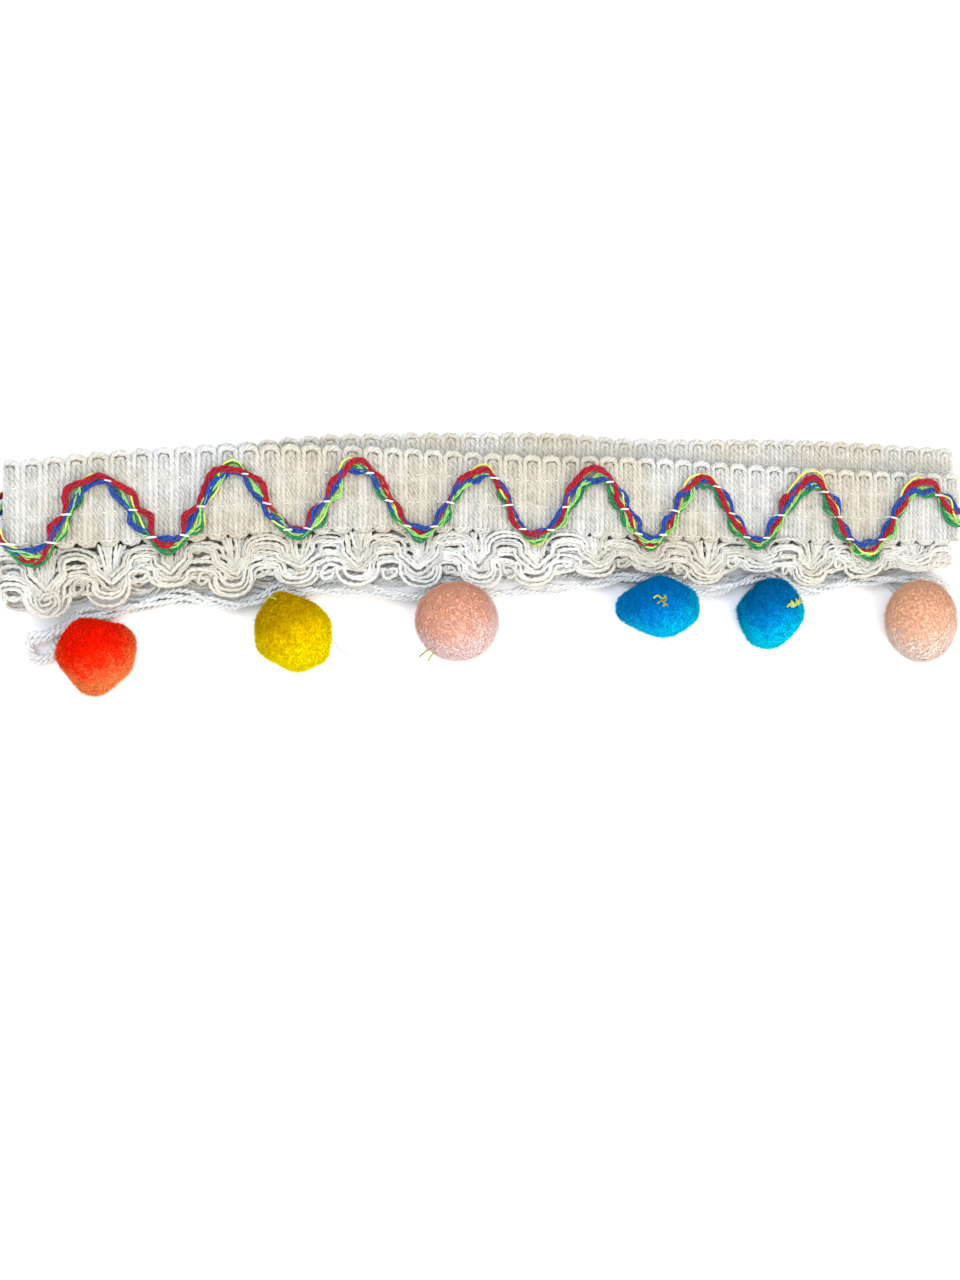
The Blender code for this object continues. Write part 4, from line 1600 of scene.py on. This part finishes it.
@dataclass
class TieEnds:
    """Cut ends of the yellow threads that tie the pompoms, and two stray threads of the gimp."""

    spinner: YarnSpinner
    thread: Gauge = Gauge(2, 0.13, 0.1, 0.09, 1.2, 0.25, sides=5)
    stray_thick: float = 0.4       # how thick a stray thread is, as a share
    steps: int = 4
    yellow: tuple[tuple[tuple[float, float, float], ...], ...] = (
        ((-15.6, -17.4, 12.4), (-17.2, -18.2, 9.8), (-18.6, -19.2, 7.0), (-20.0, -20.6, 5.6)),
        ((-16.6, -18.2, 10.8), (-17.6, -19.9, 8.0), (-18.2, -21.4, 6.4)),
        ((28.9, -8.2, 13.0), (29.8, -7.6, 13.1), (30.6, -8.3, 13.4), (31.5, -7.8, 13.3)),
        ((31.2, -7.4, 13.1), (31.6, -8.3, 13.3), (31.0, -9.0, 13.5), (31.8, -9.7, 13.5)),
        ((29.6, -9.4, 13.4), (30.4, -8.7, 13.5), (31.2, -9.3, 13.5), (30.8, -9.9, 13.6)),
        ((58.9, -9.9, 13.7), (59.9, -9.1, 13.7), (60.5, -9.8, 13.7), (61.5, -9.0, 13.1),
         (62.2, -9.5, 12.6)),
        ((60.0, -8.6, 13.4), (61.0, -9.5, 13.5), (61.9, -8.7, 12.7), (62.8, -9.0, 12.0),
         (63.4, -8.3, 11.2)),
        ((63.1, -6.9, 10.6), (62.9, -7.9, 11.4), (62.2, -8.6, 12.4), (61.2, -8.2, 13.0)),
        ((61.5, -8.4, 12.9), (61.0, -9.3, 13.5), (60.1, -9.9, 13.8), (59.3, -9.2, 13.7)),
        ((-52.6, -9.0, 9.6), (-51.4, -8.4, 10.4), (-50.4, -8.9, 11.6)))
    stray: tuple[tuple[tuple[float, float, float], ...], ...] = (
        ((-38.9, -14.0, 2.0), (-37.4, -16.8, 1.4), (-35.6, -19.2, 0.9), (-32.6, -20.9, 0.7)),
        ((-76.8, -14.2, 6.0), (-75.0, -13.2, 4.0), (-72.8, -13.6, 2.4)))

    def build(self, yellow: bpy.types.Material, pale: bpy.types.Material) -> None:
        """Spins the ends.

        Args:
            yellow: The tie ends' material.
            pale: The stray threads' material.
        """
        up = Vector((0, 0, 1))
        for name, lines, finish, thick in (("tie_ends", self.yellow, yellow, 1.0),
                                           ("stray_threads", self.stray, pale, self.stray_thick)):
            guides = Guides(seed=3)
            for line in lines:
                places = smooth_line([Vector(knot) for knot in line], lambda length: self.steps)
                guides.add((((place + SHIFT) * MM, up) for place in places), [thick] * len(places))
            dress(self.spinner.spin(name, guides, self.thread, finish), "cotton_gimp")


@dataclass
class Studio:
    """Pale floor, soft light and the camera."""

    distance: float = 0.36                     # from the camera to its target, in metres
    tilt: float = math.radians(14.0)           # how far the camera leans towards the fold
    target: tuple[float, float, float] = (-0.0051, -0.01656, 0.0)
    lens: float = 63.4
    floor: float = 3.0                         # width of the paper, in metres

    def build(self) -> None:
        """Sets up the whole studio."""
        scene = bpy.context.scene
        scene.view_settings.view_transform = "Standard"
        # White paper: matt, and bright enough that the studio's light leaves it a plain pale ground.
        paper, _, _ = principled("white_paper", {"Base Color": linear("f8f8f8"), "Roughness": 0.9})
        bpy.ops.mesh.primitive_plane_add(size=self.floor)
        floor = bpy.context.object
        floor.name = "floor"
        floor.data.materials.append(paper)
        floor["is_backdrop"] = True
        world = bpy.data.worlds.new("soft_daylight")
        scene.world = world
        world.use_nodes = True
        world.node_tree.nodes["Background"].inputs["Color"].default_value = linear("ffffff")
        world.node_tree.nodes["Background"].inputs["Strength"].default_value = 1.0
        for name, place, size, power, colour in (
                ("window_left", (-0.35, 0.2, 0.7), 0.6, 4.4, "e2edff"),
                ("lamp_right", (0.35, -0.4, 0.5), 0.6, 4.0, "fff0dc")):
            light = bpy.data.lights.new(name, "AREA")
            light.energy = power
            light.size = size
            light.color = linear(colour)[:3]
            item = bpy.data.objects.new(name, light)
            item.location = place
            item.rotation_euler = (-Vector(place)).to_track_quat("-Z", "Y").to_euler()
            scene.collection.objects.link(item)
        lens = bpy.data.cameras.new("camera")
        lens.sensor_fit = "HORIZONTAL"
        lens.sensor_width = 36.0
        lens.lens = self.lens
        lens.clip_start = 0.01
        camera = bpy.data.objects.new("camera", lens)
        away = Vector((-math.sin(self.tilt), 0.0, math.cos(self.tilt))) * self.distance
        camera.location = Vector(self.target) + away
        camera.rotation_euler = (0.0, -self.tilt, 0.0)
        scene.collection.objects.link(camera)
        scene.camera = camera


def corners() -> list[list[float]]:
    """Gives the whole object's box as plain lists."""
    return [[float(value) for value in corner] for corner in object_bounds()]


def main() -> None:
    """Builds the trim, piece by piece."""
    logging.basicConfig(level=logging.INFO, format="%(message)s")
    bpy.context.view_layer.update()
    noise.seed_set(NOISE_SEED)
    spinner = YarnSpinner()
    tufter = PileTufter()
    # Combed cotton, loosely plied: matt and creamy white, with painted soft grey shade in its hollows and
    # painted warm light in wide patches.
    band_cotton = SpunYarn("combed_cotton_band", "d2d4d2", "9c9b94", painted_warm_light="f6eedd").build()
    # The same cotton on the lower layer, painted a little paler: painted light against the shade of the
    # upper layer above it, with painted shade in its hollows and painted warm light in patches.
    lower_cotton_painted_light = SpunYarn("combed_cotton_band_lower", "e0e0dc", "acaaa2", painted_warm_light="f8f1e3").build()
    # Plain cotton weave behind the ribs, a little darker and warmer than their crests: painted shade for
    # the grooves between the ribs, so that the ribs stand out from it.
    ground = SpunYarn("cotton_ground_weave", "cfccc2", "b4b0a4").build()
    # Bleached cotton cord: cooler and whiter than the gimp beside it, partly its own colour and partly
    # painted light against the shade where it lies.
    cord_white_and_painted_light = SpunYarn("bleached_cotton_cord", "e3e4e2", "c4c8c8").build()
    # White sewing cotton: fine and clean, the brightest dots on the band and the braid.
    white = SpunYarn("white_sewing_cotton", "ffffff", "dcd8d0", sheen=0.1).build()
    # Soft cotton gimp: pale and fuzzy, with painted warm light in patches and painted grey shade in the
    # hollows of its plies.
    gimp = SpunYarn("soft_cotton_gimp", "dfe1df", "b8b7b0", painted_warm_light="f3eee2").build()
    band = Band(spinner)
    middle = band.picots // 2 + 2  # just past the fold
    band.build_yarn("ribs_upper", 0, middle, band_cotton)
    band.build_yarn("ribs_lower", middle, band.picots, lower_cotton_painted_light)
    band.build_binding(white)
    sheet = band.build_sheet(ground)
    braid = WavyBraid(spinner, tufter, band)
    # Mercerised cotton: smoother and deeper in colour than the rest, with a faint silky light and
    # stronger painted shade in its hollows.
    threads = {strand.name: SpunYarn("mercerised_cotton_" + strand.name.removeprefix("braid_"),
                                     strand.light, strand.dark, roughness=0.8, sheen=0.15,
                                     contrast=0.6, mottle=0.7).build()
               for strand in braid.strands}
    braid.build(threads, white)
    fringe = ScrollFringe(spinner)
    fringe.build(gimp)
    fringe.build_core(gimp)
    cord = EdgeCord(spinner, fringe).build(cord_white_and_painted_light)
    maker = PompomMaker(tufter)
    for seed, ball in enumerate(BALLS):
        # Acrylic pile: a soft strong colour in random patches and tufts, with painted shade at its roots
        # and towards the band, and painted light on its flanks and away from the band.
        finish = CutPile("acrylic_" + ball.name, *ball.pile, (ball.x, ball.y, ball.thick / 2)).build()
        maker.build(ball, finish, seed)
    # Yellow-green sewing thread: thin, with painted dark shade in its hollows, so that it reads against
    # the pile.
    TieEnds(spinner).build(SpunYarn("yellow_tie_thread", "d0d456", "66762c").build(), gimp)
    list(band.pieces)
    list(braid.pieces)
    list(fringe.pieces)
    Studio().build()
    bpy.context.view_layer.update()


if __name__ == "__main__":
    main()
